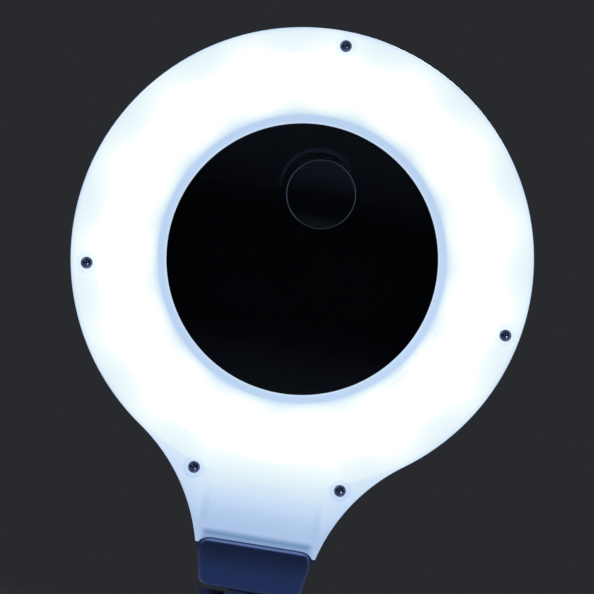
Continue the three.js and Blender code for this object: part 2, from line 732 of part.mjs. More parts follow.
function basePlate() {
  const sink = [[0, BASE_BOTTOM - 1], [4.6, BASE_BOTTOM - 1], [2.2, PLATE_TOP - 0.4], [2.2, 10], [0, 10]];
  const sinks = baseScrewPlaces.map(([x, y]) => turned(sink, 12, x, y));
  return cut(barZ(PLATE_R, BASE_BOTTOM, PLATE_TOP, 0, 0, BASE_SIDES), ...sinks);
}

function baseScrew(x, y) {
  const head = BASE_BOTTOM + GAP;
  return turned([[0, head], [3.2, head], [1.9, PLATE_TOP], [1.9, 15], [0, 15.8]], 12, x, y);
}

function baseWeight() {
  const z = PLATE_TOP + GAP;
  const [below, above] = [z - 1, z + WEIGHT + 1];
  const holes = baseScrewPlaces.map(([x, y]) => barZ(BASE_BOSS_R + 2 * GAP, below, above, x, y, 12));
  const disc = ring(WEIGHT_HOLE_R, WEIGHT_R, z, z + WEIGHT, BASE_SIDES);
  return cut(disc, box(-12, 12, 54, 90, below, above), ...holes);
}

// The power socket in the back of the base, and the board that it sits on.
function powerInlet() {
  const face = BASE_R - 1;
  return join(
    cut(
      join(barY(INLET_R, 78, face, 0, INLET_Z), box(-6, 6, 72, 81, INLET_Z - 3.2, INLET_Z + 5)),
      barY(2.8, 79, face + 1, 0, INLET_Z, 12),
    ),
    barY(0.9, 78.5, face - 1, 0, INLET_Z, 8),
  );
}

const inletBoard = () => box(-10.5, 10.5, 57, 77.5, INLET_Z - 3.5 - BOARD, INLET_Z - 3.5);

function base() {
  const group = new THREE.Group();
  group.add(
    piece("base_cover", baseCover(), casingBlue),
    piece("base_plate", basePlate(), darkBlue),
    piece("base_weight", baseWeight(), castIron),
    piece("base_pad", barZ(PAD_R, 0, PAD, 0, 0, BASE_SIDES), rubber),
    piece("power_inlet", powerInlet(), rubber),
    piece("inlet_board", inletBoard(), boardWhite),
  );
  baseScrewPlaces.forEach(([x, y], i) => {
    group.add(piece(`base_screw_${i + 1}`, baseScrew(x, y), darkSteel));
  });
  return group;
}

// What holds the turret down on the base, from inside.
function turretFixing() {
  const top = SPIGOT_END - GAP;
  const head = top - 2 - GAP;
  const shank = [[TURRET_BOLT_R, head], [TURRET_BOLT_R, 34], [0, 34]];
  return [
    piece("turret_washer", ring(TURRET_BOLT_R + GAP, TURRET_WASHER_R, top - 2, top, 24), steel),
    piece("turret_bolt", turned([[0, head - 3], [4.5, head - 3], [4.5, head], ...shank], 16), steel),
  ];
}

// ---------------------------------------------------------------- assembly
const tiltingHead = head();
tiltingHead.position.z = UPPER_ARM;
tiltingHead.rotation.x = rad(-UPPER_LEAN);

const upperArm = armSection("upper_arm", "head_hinge", UPPER_ARM);
upperArm.position.z = LOWER_ARM;
upperArm.rotation.x = rad(UPPER_LEAN - LOWER_LEAN);
upperArm.add(tiltingHead);

const lowerArm = armSection("lower_arm", "elbow", LOWER_ARM);
lowerArm.rotation.x = rad(LOWER_LEAN);
lowerArm.add(upperArm);

const shoulder = new THREE.Group();
shoulder.position.z = SHOULDER_Z;
shoulder.add(piece("turret", turret(), casingBlue), hingeHardware("shoulder"), lowerArm);

const lamp = new THREE.Group();
lamp.add(base(), ...turretFixing(), shoulder);

export default lamp;
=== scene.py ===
# The looks of a desk magnifying lamp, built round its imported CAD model. The frame is in metres, +Z up.
# Shapes are written in millimetres. The head's own frame has the lens axis along Z, the light shining
# towards +Z and the neck pointing to -Y. An arm section's own frame has its lower axle along X at z = 0.
from math import atan2, cos, hypot, pi, radians, sin, sqrt

import bmesh
import bpy
from mathutils import Matrix, Vector


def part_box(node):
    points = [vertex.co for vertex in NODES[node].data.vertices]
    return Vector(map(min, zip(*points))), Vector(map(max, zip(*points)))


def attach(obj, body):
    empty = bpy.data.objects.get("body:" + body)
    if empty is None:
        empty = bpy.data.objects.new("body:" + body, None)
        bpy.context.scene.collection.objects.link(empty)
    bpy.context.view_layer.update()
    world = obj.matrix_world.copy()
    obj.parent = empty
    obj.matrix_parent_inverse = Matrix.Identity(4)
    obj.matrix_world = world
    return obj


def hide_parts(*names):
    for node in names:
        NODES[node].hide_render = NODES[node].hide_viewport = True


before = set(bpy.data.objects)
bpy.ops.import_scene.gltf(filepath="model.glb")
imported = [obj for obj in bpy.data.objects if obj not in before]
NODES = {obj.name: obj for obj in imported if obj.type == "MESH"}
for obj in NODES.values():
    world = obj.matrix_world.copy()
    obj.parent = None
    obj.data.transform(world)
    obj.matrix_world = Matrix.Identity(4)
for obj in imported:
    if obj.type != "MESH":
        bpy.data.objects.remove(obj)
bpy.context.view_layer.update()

MM = 0.001

# ---------------------------------------------------------------- sizes shared with the CAD part
GAP = 0.3
WALL = 2.2
HEAD_R = 81
FLARE_R = 65
FLARE_TURN = radians(35.2)
HEAD_FRONT = 12
HEAD_BACK = -12
SHADE_SPLIT = 0.3
SHADE_EDGE_R = 1.2
CASING_EDGE_R = 3
APERTURE_R = 48
RIM_R = 52.3
SHADE_END = 101
SHADE_TIP = 103.2
SEAM = 1
COVER_TOP = SHADE_END + SEAM
NECK_END = 118.4
NECK_END_HALF = 18.6
NECK_CORNER_R = 5
NECK_FRONT = 9
COVER_HALF = 19.9
COVER_CORNER_R = 4.6
LENS_R = 50
LENS_EDGE = 2.6
LENS_SAG = 3.6
INSET_R = 12.25
INSET_X = 2.9
INSET_Y = 23.5
INSET_EDGE = 1
INSET_SAG = 1.75
LED_COUNT = 15
SHADE_SCREWS = [(76, 2.4), (76, 101.5), (75.5, -100.2), (82.3, 161.6), (82.1, -161.7)]
SCREW_HEAD_R = 2.1
SCREW_HEAD = 1.9
SCREW_SHANK_R = 1.25
SCREW_REACH = 12.5
SCREW_POCKET_R = 3.7
SCREW_SEAT = 9
BOSS_R = 4.5
BUTTON_Y = -90
BUTTON_R = 6
BUTTON_FLANGE_R = 7.2
LID_R = 51.5
LID_SEAT = HEAD_BACK - 0.4
LID_HINGE_Y = 57.5
LID_HINGE_Z = -15
LID_BARREL_R = 2.6
LID_PIN_R = 1.2
LID_TAB_HALF = 6
LID_LUG_OUT = 10.6
HEAD_REACH = 131
HEAD_AXLE_Z = -1.5
TONGUE_HALF = 7
TONGUE_DEEP = 9
EAR_IN = 8.6
EAR_OUT = 17.6
BARREL_R = 10.5
AXLE_R = 3
AXLE_HOLE_R = 3.3
SLOT_DEPTH = 12
TONGUE_REACH = 13
COLLAR = 8
COLLAR_CORNER_R = 5
PLUG = 15
TUBE_X = 32
TUBE_Y = 17
TUBE_CORNER_R = 6
TUBE_WALL = 1.6
LEAD_HOLE_R = 2.2
PLUG_SCREW_R = 1.5
PLUG_SCREW_HEAD_R = 2.8
BASE_R = 90
BASE_TOP = 27
BASE_RIM = 9
BASE_FLAT_R = 30
BASE_WALL = 2.4
BASE_BORE_R = 15
PAD = 2.2
PAD_R = 88
SPIGOT_R = 14.4
TURRET_R = 24
TURRET_TOP = 38
INLET_Z = 10
INLET_R = 4

# ---------------------------------------------------------------- sizes that only the looks have
FINE_SIDES = 160  # of the smoothest circles
CONE_EDGE_R = 1.1
VIEW_EDGE_R = 0.8
PILLAR_R = 2.5
GROOVE_DEEP = 0.5
GROOVE_IN_R = 53.2
GROOVE_OUT_R = 54
WELL_R = 8.6  # round the button
WELL_MOUTH_R = 9.2
THREAD_PITCH = 0.8
EAR_EDGE_R = 0.7
TREAD_DEEP = 0.6
TREAD_WIDE = 1.2
TURRET_EDGE_R = 3
RIB_PLACES = (-54.6, -53.2, -51.8)  # along the lid's finger tab
LIP_R = 48.7

# ---------------------------------------------------------------- frames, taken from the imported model


def centre(node):
    low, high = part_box(node)
    return (low + high) / 2


def tilted(origin, toward):
    """A frame at origin with X kept and Z turned in the YZ plane towards another point."""
    lean = atan2(origin.y - toward.y, toward.z - origin.z)
    return Matrix.Translation(origin) @ Matrix.Rotation(lean, 4, "X")


LENS_CENTRE = centre("main_lens")
HEAD = Matrix.Translation(LENS_CENTRE) @ Matrix.Rotation(pi / 2, 4, "X")


def axle(name):
    spot = centre(f"{name}_axle")
    return Vector((0, spot.y, spot.z))


SHOULDER, ELBOW, TILT = axle("shoulder"), axle("elbow"), axle("head_hinge")
LOWER = tilted(SHOULDER, ELBOW)
UPPER = tilted(ELBOW, TILT)
LOWER_LENGTH = (ELBOW - SHOULDER).length / MM
UPPER_LENGTH = (TILT - ELBOW).length / MM
WORLD = Matrix.Identity(4)
TURRET = Matrix.Translation(SHOULDER)

# ---------------------------------------------------------------- solids


def mesh_object(name, points, faces):
    mesh = bpy.data.meshes.new(name)
    mesh.from_pydata([[MM * c for c in point] for point in points], [], faces)
    obj = bpy.data.objects.new(name, mesh)
    bpy.context.scene.collection.objects.link(obj)
    tidy = bmesh.new()
    tidy.from_mesh(mesh)
    bmesh.ops.remove_doubles(tidy, verts=tidy.verts, dist=1e-6)
    bmesh.ops.recalc_face_normals(tidy, faces=tidy.faces)
    tidy.to_mesh(mesh)
    tidy.free()
    return obj


def loft(rings, closed=False):
    """A solid through rings of points that have the same count, capped at its two ends unless closed."""
    count = len(rings[0])
    points = [point for ring in rings for point in ring]
    faces = []
    for i in range(len(rings) if closed else len(rings) - 1):
        a, b = i * count, (i + 1) % len(rings) * count
        faces += [(a + j, a + (j + 1) % count, b + (j + 1) % count, b + j) for j in range(count)]
    if not closed:
        faces += [tuple(range(count)), tuple(range(len(points) - count, len(points)))]
    return mesh_object("solid", points, faces)


def turned(profile, sides=64, x=0, y=0):
    """A profile of (radius, height) turned round Z. Off the axis it closes on itself."""
    turns = [2 * pi * j / sides for j in range(sides)]
    rings = [[(x + r * cos(t), y + r * sin(t), z) for t in turns] for r, z in profile]
    return loft(rings, closed=profile[0][0] > 0)


def raised(outline, layers):
    """outline(inset) gives a flat closed line. layers are (z, inset) from one end to the other."""
    return loft([[(x, y, z) for x, y in outline(inset)] for z, inset in layers])


def box(x0, x1, y0, y1, z0, z1):
    return loft([[(x0, y0, z), (x1, y0, z), (x1, y1, z), (x0, y1, z)] for z in (z0, z1)])


def turn_points(obj, matrix):
    obj.data.transform(matrix)
    return obj


def bar_z(r, z0, z1, x=0, y=0, sides=32):
    return turned([(0, z0), (r, z0), (r, z1), (0, z1)], sides, x, y)


def bar_x(r, x0, x1, y=0, z=0, sides=48):
    bar = turned([(0, x0), (r, x0), (r, x1), (0, x1)], sides)
    turn_points(bar, Matrix.Rotation(pi / 2, 4, "Y"))
    return turn_points(bar, Matrix.Translation((0, y * MM, z * MM)))


def bar_y(r, y0, y1, x=0, z=0, sides=32):
    bar = turned([(0, y0), (r, y0), (r, y1), (0, y1)], sides)
    turn_points(bar, Matrix.Rotation(-pi / 2, 4, "X"))
    return turn_points(bar, Matrix.Translation((x * MM, 0, z * MM)))


def settle(obj):
    """Makes the shape that an object's modifiers give it its own mesh."""
    ready = obj.evaluated_get(bpy.context.evaluated_depsgraph_get())
    made = bpy.data.meshes.new_from_object(ready)
    obj.modifiers.clear()
    old, obj.data = obj.data, made
    bpy.data.meshes.remove(old)
    return obj


def combine(obj, tools, operation):
    """Takes in the tools one by one. Each tool is used up."""
    for tool in tools:
        step = obj.modifiers.new("step", "BOOLEAN")
        step.operation, step.solver, step.object = operation, "MANIFOLD", tool
        settle(obj)
        bpy.data.meshes.remove(tool.data)
    return obj


def join(obj, *others):
    return combine(obj, others, "UNION")


def cut(obj, *tools):
    return combine(obj, tools, "DIFFERENCE")


def common(obj, *others):
    return combine(obj, others, "INTERSECT")


def rounded(z0, z1, low=0.0, high=0.0, steps=5, start=0.0):
    """Layers for raised() with a quarter-round of the given radius at the low and the high end."""
    layers = []
    if low:
        turns = [pi / 2 * i / steps for i in range(steps)]
        layers += [(z0 + low * (1 - sin(t)), start + low * (1 - cos(t))) for t in reversed(turns[1:])]
        layers = [(z0, start + low)] + layers + [(z0 + low, start)]
    else:
        layers = [(z0, start)]
    if high:
        turns = [pi / 2 * i / steps for i in range(steps + 1)]
        layers += [(z1 - high * (1 - sin(t)), start + high * (1 - cos(t))) for t in turns]
    else:
        layers.append((z1, start))
    return layers


def arc(x, y, r, start, end, steps):
    turns = [start + (end - start) * i / steps for i in range(steps + 1)]
    return [(x + r * cos(t), y + r * sin(t)) for t in turns]


def rounded_rectangle(width, height, r, steps=8):
    def outline(inset):
        x, y, corner = width / 2 - r, height / 2 - r, max(r - inset, 0.05)
        places = [(x, -y, -pi / 2), (x, y, 0), (-x, y, pi / 2), (-x, -y, pi)]
        return [p for cx, cy, t in places for p in arc(cx, cy, corner, t, t + pi / 2, steps)]

    return outline


def bend(corner, start, end, steps=8):
    """A quadratic curve from start to end that is pulled towards the corner."""
    points = []
    for i in range(steps + 1):
        t = i / steps
        a, b, c = (1 - t) ** 2, 2 * t * (1 - t), t**2
        points.append(tuple(a * s + b * k + c * e for s, k, e in zip(start, corner, end)))
    return points


# ---------------------------------------------------------------- head outlines
FLARE_X = (HEAD_R + FLARE_R) * sin(FLARE_TURN)
FLARE_Y = -(HEAD_R + FLARE_R) * cos(FLARE_TURN)
FLARE_STEPS = 24
RING_STEPS = 120


def ring_and_flare(inset, start_y):
    r = FLARE_R + inset
    rise = atan2(start_y - FLARE_Y, sqrt(r * r - (start_y - FLARE_Y) ** 2))
    right = arc(FLARE_X, FLARE_Y, r, pi - rise, pi / 2 + FLARE_TURN, FLARE_STEPS)
    ring = arc(0, 0, HEAD_R - inset, FLARE_TURN - pi / 2, 1.5 * pi - FLARE_TURN, RING_STEPS)
    left = arc(-FLARE_X, FLARE_Y, r, pi / 2 - FLARE_TURN, rise, FLARE_STEPS)
    return right + ring[1:-1] + left


def shade_outline(end):
    return lambda inset: ring_and_flare(inset, -end)


def casing_outline(inset):
    x, y = NECK_END_HALF - inset, inset - NECK_END
    r = NECK_CORNER_R - inset / 2
    right = bend((x, y), (x - r, y), (x, y + r))
    left = bend((-x, y), (-x, y + r), (r - x, y))
    return right + ring_and_flare(inset, -COVER_TOP) + left


def cover_outline(end, end_corner=NECK_CORNER_R):
    def outline(inset):
        top, half, end_half = -inset - COVER_TOP, COVER_HALF - inset, NECK_END_HALF - inset
        low = inset - end if end_corner else -end
        r, corner = COVER_CORNER_R - inset, max(end_corner - inset, 0.05)
        return (
            bend((half, top), (half, top - r), (half - r, top))
            + bend((-half, top), (r - half, top), (-half, top - r))
            + bend((-end_half, low), (-end_half, low + corner), (corner - end_half, low))
            + bend((end_half, low), (end_half - corner, low), (end_half, low + corner))
        )

    return outline


SCREW_PLACES = [(r * sin(radians(turn)), r * cos(radians(turn))) for r, turn in SHADE_SCREWS]

# ---------------------------------------------------------------- materials


class Look:
    """A procedural material with one Principled shader, and short ways to add nodes to it."""

    def __init__(self, name, **sockets):
        self.material = bpy.data.materials.new(name)
        self.material.use_nodes = True
        self.tree = self.material.node_tree
        self.shader = self.tree.nodes["Principled BSDF"]
        coordinates = self.node("ShaderNodeTexCoord").outputs
        self.place, self.turned = coordinates["Object"], coordinates["Normal"]
        for socket, value in sockets.items():
            self.set(socket.replace("_", " "), value)

    def set(self, socket, value):
        target = self.shader.inputs[socket]
        if isinstance(value, bpy.types.NodeSocket):
            self.tree.links.new(value, target)
        else:
            target.default_value = value

    def node(self, kind, settings=None, **inputs):
        made = self.tree.nodes.new(kind)
        for key, value in (settings or {}).items():
            setattr(made, key, value)
        for key, value in inputs.items():
            target = made.inputs[int(key[1:])] if key[1:].isdigit() else made.inputs[key.replace("_", " ")]
            if isinstance(value, bpy.types.NodeSocket):
                self.tree.links.new(value, target)
            else:
                target.default_value = value
        return made

    def math(self, operation, a, b=0.0, c=0.0, clamp=False):
        settings = {"operation": operation, "use_clamp": clamp}
        return self.node("ShaderNodeMath", settings, i0=a, i1=b, i2=c).outputs[0]

    def scaled(self, factor):
        """Object coordinates times a number or one number for each axis."""
        by = factor if isinstance(factor, tuple) else (factor,) * 3
        return self.node("ShaderNodeVectorMath", {"operation": "MULTIPLY"}, i0=self.place, i1=by).outputs[0]

    def minus(self, a, b):
        return self.math("SUBTRACT", a, b)

    def times(self, a, b):
        return self.math("MULTIPLY", a, b)

    def away(self, a, b):
        """How far a is from b, on either side."""
        return self.math("ABSOLUTE", self.minus(a, b))

    def length(self, vector):
        return self.node("ShaderNodeVectorMath", {"operation": "LENGTH"}, i0=vector).outputs["Value"]

    def axes(self):
        """Object coordinates in millimetres, one by one."""
        return self.node("ShaderNodeSeparateXYZ", Vector=self.scaled(1 / MM)).outputs

    def tint(self, colour, value):
        """Sets the base colour to one made darker or lighter by a value that is round 1."""
        made = self.node("ShaderNodeHueSaturation", Value=value, Color=rgb(colour))
        self.set("Base Color", made.outputs[0])

    def flat(self):
        """Object coordinates in millimetres with their height left out."""
        by = (1 / MM, 1 / MM, 0)
        return self.node("ShaderNodeVectorMath", {"operation": "MULTIPLY"}, i0=self.place, i1=by).outputs[0]

    def noise(self, size, detail=3.0, rough=0.5, stretch=(1, 1, 1)):
        """Noise whose lumps are about the size given, in millimetres."""
        where = self.scaled(tuple(s / (size * MM) for s in stretch))
        made = self.node("ShaderNodeTexNoise", Vector=where, Scale=1.0, Detail=detail, Roughness=rough)
        return made.outputs["Fac"]

    def step(self, value, low, high, to_low=0.0, to_high=1.0, smooth=True):
        """value from low to high becomes to_low to to_high, and stays there outside."""
        kind = {"interpolation_type": "SMOOTHSTEP" if smooth else "LINEAR"}
        inputs = {"i0": value, "i1": low, "i2": high, "i3": to_low, "i4": to_high}
        return self.node("ShaderNodeMapRange", kind, **inputs).outputs[0]

    def ramp(self, value, stops):
        made = self.node("ShaderNodeValToRGB", Fac=value)
        elements = made.color_ramp.elements
        while len(elements) < len(stops):
            elements.new(1.0)
        for element, (at, colour) in zip(elements, stops):
            element.position, element.color = at, colour
        return made.outputs["Color"]

    def bump(self, height, depth, strength=1.0, under=None):
        """Bump with the depth given in millimetres between heights 0 and 1."""
        inputs = {"Height": height, "Distance": depth * MM, "Strength": strength}
        made = self.node("ShaderNodeBump", **inputs)
        if under:
            self.tree.links.new(under, made.inputs["Normal"])
        self.set("Normal", made.outputs[0])
        return made.outputs[0]


def rgb(code, alpha=1.0):
    """A display colour such as 2C3C66 as the linear colour that a shader takes."""
    parts = [int(code[i : i + 2], 16) / 255 for i in (0, 2, 4)]
    linear = [c / 12.92 if c <= 0.04045 else ((c + 0.055) / 1.055) ** 2.4 for c in parts]
    return (*linear, alpha)


# The lit diffuser. Its glow is strongest over the circle of LEDs, shows each LED as a soft lobe at the
# inner and outer borders, dies away down the neck, and is least where its end wall stands behind it.
# Each part of the glow is a number up to 1. Places are millimetres from the lens axis, or below it.
GLOW = [
    (0.0, "6587B1"),
    (0.14, "A3BBDE"),
    (0.31, "B8D0EC"),
    (0.55, "D1E2F0"),
    (0.76, "E1EFF3"),
    (0.89, "EDF7F8"),
    (1.0, "FFFFFF"),
]


def outer_glow(look, r, share):
    """Full over the LEDs and fading to the outer edge. Beside each LED it starts to fade further out."""
    start = look.math("MULTIPLY_ADD", share, 5.4, 68.2)
    slope = look.math("MULTIPLY_ADD", share, 0.004, 0.0275)
    past = look.math("MAXIMUM", look.minus(r, start), 0.0)
    rounding = look.step(r, 79.0, 80.8, 0.0, 0.2)
    return look.minus(look.minus(1.0, look.times(past, slope)), rounding)


def inner_glow(look, r, lobe):
    """Dim on the cone round the lens and rising outside it, faster at each LED. The lip is brighter."""
    rate = look.math("MULTIPLY_ADD", lobe, -0.22, -0.76)
    past = look.math("MAXIMUM", look.minus(r, 50.5), 0.0)
    rise = look.minus(1.0, look.math("EXPONENT", look.times(rate, past)))
    cone = look.math("MULTIPLY_ADD", rise, 0.83, 0.17)
    lip = look.step(r, LIP_R + 0.1, LIP_R - 0.1, 0.0, 0.3)
    return look.math("MAXIMUM", cone, lip)


def neck_glow(look, down, wide):
    """Fades down the neck, less so at its sides, which a thin dim line sets off."""
    fade = look.step(down, 97.3, 65.0)
    strip = look.times(look.step(wide, 20.6, 22.0), look.step(down, 82.0, 90.0, 0.0, 0.12))
    line = look.times(look.step(look.away(wide, 19.6), 2.0, 0.4), look.step(down, 80.0, 88.0, 0.0, 0.05))
    return look.minus(look.math("ADD", fade, strip), line)


def depth_dimming(look, r, z):
    """Outside the cone, what lies below the front face glows less."""
    return look.times(look.minus(float(HEAD_FRONT), z), look.step(r, 52.6, 53.6, 0.0, 0.035))


def side_dimming(look, r):
    """The outer walls, which are turned away from the front, glow less."""
    facing = look.node("ShaderNodeSeparateXYZ", Vector=look.turned).outputs[2]
    return look.times(look.step(facing, 0.98, 0.3), look.step(r, 55.0, 60.0, 0.0, 0.34))


def end_wall_dimming(look, down, wide):
    """The wall at the shade's end shows through it as a dim line above the neck cover."""
    wall = look.minus(look.step(down, 97.2, 99.5), look.step(down, 99.5, 100.4, 0.0, 0.3))
    return look.times(wall, look.step(wide, 20.6, 17.6, 0.0, 0.14))


def frosted_shade():
    look = Look("frosted_shade", Roughness=0.34, IOR=1.49, Base_Color=rgb("555C68"))
    x, y, z = look.axes()
    down = look.times(y, -1.0)
    wide = look.math("ABSOLUTE", x)
    r = look.length(look.flat())
    lobe = look.math("COSINE", look.times(look.math("ARCTAN2", x, y), float(LED_COUNT)))
    share = look.math("MULTIPLY_ADD", lobe, 0.5, 0.5)

    glow = look.math("MINIMUM", outer_glow(look, r, share), inner_glow(look, r, lobe))
    glow = look.math("MINIMUM", glow, neck_glow(look, down, wide))
    glow = look.minus(glow, depth_dimming(look, r, z))
    glow = look.minus(glow, side_dimming(look, r))
    cloud = look.math("MULTIPLY_ADD", look.noise(24, detail=2.0), 0.05, -0.025)
    glow = look.math("ADD", glow, cloud, clamp=True)
    glow = look.minus(look.math("MULTIPLY_ADD", glow, 0.86, 0.14), end_wall_dimming(look, down, wide))

    core = look.step(look.away(r, 64.0), 8.5, 3.0, 1.0, 2.0)
    look.set("Emission Color", look.ramp(glow, [(at, rgb(code)) for at, code in GLOW]))
    look.set("Emission Strength", core)
    look.bump(look.noise(0.5, detail=2.0), 0.012)
    return look.material


def grained_plastic(name, colour, roughness, grain=0.45, depth=0.03):
    """Moulded plastic with a fine spark-eroded grain and faint handling marks."""
    look = Look(name, IOR=1.5)
    blotch = look.noise(38, detail=4.0, rough=0.6)
    look.tint(colour, look.step(blotch, 0.3, 0.7, 0.93, 1.07))
    marks = look.noise(9, detail=5.0, rough=0.65, stretch=(1, 1.7, 1))
    look.set("Roughness", look.step(marks, 0.35, 0.7, roughness - 0.06, roughness + 0.08))
    look.bump(look.noise(grain, detail=2.0), depth)
    return look.material


def cover_plastic_painted_shade():
    """The casing's plastic on the neck cover, with painted shade that is darkest beside the lit shade."""
    look = Look("cover_plastic_painted_shade", IOR=1.5, Roughness=0.42)
    # painted shade: the tint runs from dark beside the light shade to lighter towards the neck's end
    look.tint("1F376E", look.step(look.axes()[1], -104.5, -114.0, 0.68, 1.3))
    look.bump(look.noise(0.45, detail=2.0), 0.03)
    return look.material


def painted_casting(name, colour):
    """Satin paint with a slight orange peel over a zinc casting."""
    look = Look(name, IOR=1.5, Coat_Weight=0.25, Coat_Roughness=0.22)
    fleck = look.noise(0.7, detail=1.0)
    look.tint(colour, look.step(fleck, 0.35, 0.65, 0.9, 1.12))
    look.set("Roughness", look.step(look.noise(14, detail=4.0), 0.3, 0.7, 0.34, 0.46))
    peel = look.bump(look.noise(2.2, detail=1.0), 0.03)
    look.bump(look.noise(0.5, detail=1.0), 0.008, under=peel)
    return look.material


def anodised_tube():
    """Satin anodised aluminium with its drawing lines along the tube."""
    look = Look("anodised_tube", Metallic=1.0, Anisotropic=0.4)
    lines = look.noise(0.35, detail=4.0, rough=0.6, stretch=(1, 1, 0.008))
    haze = look.step(look.noise(30, detail=3.0), 0.3, 0.7, 0.0, 0.06)
    look.set("Base Color", look.ramp(lines, [(0.3, rgb("A9ADB4")), (0.7, rgb("C6CAD0"))]))
    look.set("Roughness", look.math("ADD", look.step(lines, 0.3, 0.7, 0.24, 0.34), haze))
    look.bump(lines, 0.01)
    return look.material


def turned_metal(name, colours, roughness):
    """Plated steel with faint machining rings and a few dull spots."""
    look = Look(name, Metallic=1.0)
    spots = look.noise(1.6, detail=5.0, rough=0.65)
    look.set("Base Color", look.ramp(spots, [(0.35, rgb(colours[0])), (0.65, rgb(colours[1]))]))
    look.set("Roughness", look.step(spots, 0.3, 0.7, roughness, roughness + 0.12))
    look.bump(look.noise(0.25, detail=3.0), 0.006)
    return look.material


def glass(name):
    """The look of clear optical glass, to which a lens can add its own."""
    look = Look(name, Base_Color=rgb("FBFDFF"), IOR=1.5, Transmission_Weight=1.0)
    look.set("Roughness", look.step(look.noise(16, detail=4.0), 0.62, 0.8, 0.0, 0.02))
    look.set("Specular Tint", (0.22, 0.27, 0.4, 1.0))
    return look


def main_glass():
    """The main lens's glass, with a painted reflection of the small lens's edge as a faint arc in its back
    face.
    """
    look = glass("main_lens_glass")
    middle, arc_r, half_width = (1.4, 25.9, 0), 13.2, 0.9
    brightest_towards = (-0.03, 0.08, 0)
    off = look.node("ShaderNodeVectorMath", {"operation": "SUBTRACT"}, i0=look.flat(), i1=middle).outputs[0]
    settings = {"operation": "DOT_PRODUCT"}
    turn = look.node("ShaderNodeVectorMath", settings, i0=off, i1=brightest_towards).outputs["Value"]
    # painted reflection: a thin glowing ring, brightest on one side
    painted_reflection = look.step(look.away(look.length(off), arc_r), half_width, 0.1)
    look.set("Emission Color", rgb("86A6E0"))
    look.set("Emission Strength", look.times(look.times(painted_reflection, look.step(turn, 0.0, 0.8)), 0.011))
    return look.material


def ground_edge(name, colour, low, high, lit_turn, lobes):
    """The ground rim of a lens, with a painted glow for the ring's light it catches, most at some of its
    sides.
    """
    look = Look(name, Base_Color=rgb(colour), Roughness=0.6)
    x, y, _ = look.axes()
    turn = look.minus(look.math("ARCTAN2", y, x), radians(lit_turn))
    turn = look.math("COSINE", look.times(turn, float(lobes)))
    ripple = look.step(look.noise(3.2, detail=2.0), 0.3, 0.7, 0.6, 1.3)
    # painted light: the rim glows as if lit by the ring, strongest towards lit_turn
    look.set("Emission Color", rgb("8FB0E6"))
    look.set("Emission Strength", look.times(look.step(turn, -1.0, 1.0, low, high), ripple))
    look.bump(look.noise(0.2), 0.02)
    return look.material


def matt_black():
    """The flocked inner face of the lid, which keeps the view through the lens dark."""
    look = Look("matt_black", Roughness=0.95, Base_Color=rgb("05070C"))
    look.set("Specular IOR Level", 0.05)
    look.bump(look.noise(0.4, detail=2.0), 0.03)
    return look.material


def cover_edge_painted_light():
    """The neck cover's plastic with painted light: a glow where the shade's end wall lights its top edge."""
    look = Look("cover_edge_painted_light", Base_Color=rgb("243560"), Roughness=0.3)
    painted_light = look.step(look.axes()[1], -COVER_TOP - 0.95, -COVER_TOP - 0.2, 0.0, 0.55)
    look.set("Emission Color", rgb("7590CC"))
    look.set("Emission Strength", painted_light)
    look.bump(look.noise(0.45, detail=2.0), 0.02)
    return look.material


def rubber(name, colours, grain=0.6, depth=0.05):
    look = Look(name, IOR=1.5)
    dust = look.noise(5, detail=6.0, rough=0.7)
    look.set("Base Color", look.ramp(dust, [(0.4, rgb(colours[0])), (0.75, rgb(colours[1]))]))
    look.set("Roughness", look.step(dust, 0.3, 0.7, 0.72, 0.9))
    look.bump(look.noise(grain, detail=3.0), depth)
    return look.material


def circuit_board():
    """White solder mask with copper tracks under it and a few solder pads."""
    look = Look("circuit_board", Roughness=0.35)
    cells = look.node("ShaderNodeTexBrick", Vector=look.scaled(240.0), Scale=1.0, Mortar_Size=0.05)
    cells.inputs["Color1"].default_value = rgb("E9EBE4")
    cells.inputs["Color2"].default_value = rgb("DDE2DA")
    cells.inputs["Mortar"].default_value = rgb("B9C7B4")
    look.set("Base Color", cells.outputs["Color"])
    pads = look.node("ShaderNodeTexVoronoi", Vector=look.scaled(300.0), Scale=1.0).outputs["Distance"]
    look.set("Metallic", look.step(pads, 0.16, 0.12, 0.0, 0.85))
    look.bump(look.math("ADD", cells.outputs["Fac"], look.step(pads, 0.2, 0.1)), 0.06)
    return look.material


def cast_iron():
    look = Look("cast_iron", Metallic=0.9, Base_Color=rgb("4A4C50"))
    sand = look.noise(1.4, detail=6.0, rough=0.7)
    look.set("Base Color", look.ramp(sand, [(0.3, rgb("35373A")), (0.7, rgb("5A5650"))]))
    look.set("Roughness", look.step(sand, 0.3, 0.7, 0.55, 0.8))
    look.bump(sand, 0.25)
    return look.material


SHADE = frosted_shade()
CASING = grained_plastic("casing_plastic", "253A6C", 0.42)
# the neck cover's plastic carries painted shade along the neck
COVER = cover_plastic_painted_shade()
CASTING = painted_casting("painted_casting", "26345C")
LID = grained_plastic("lid_plastic", "141B30", 0.5)
LID_INSIDE = matt_black()
# painted light on the neck cover's top edge
COVER_EDGE = cover_edge_painted_light()
GLASS = glass("lens_glass").material
# the main lens's glass carries a painted reflection arc
MAIN_GLASS = main_glass()
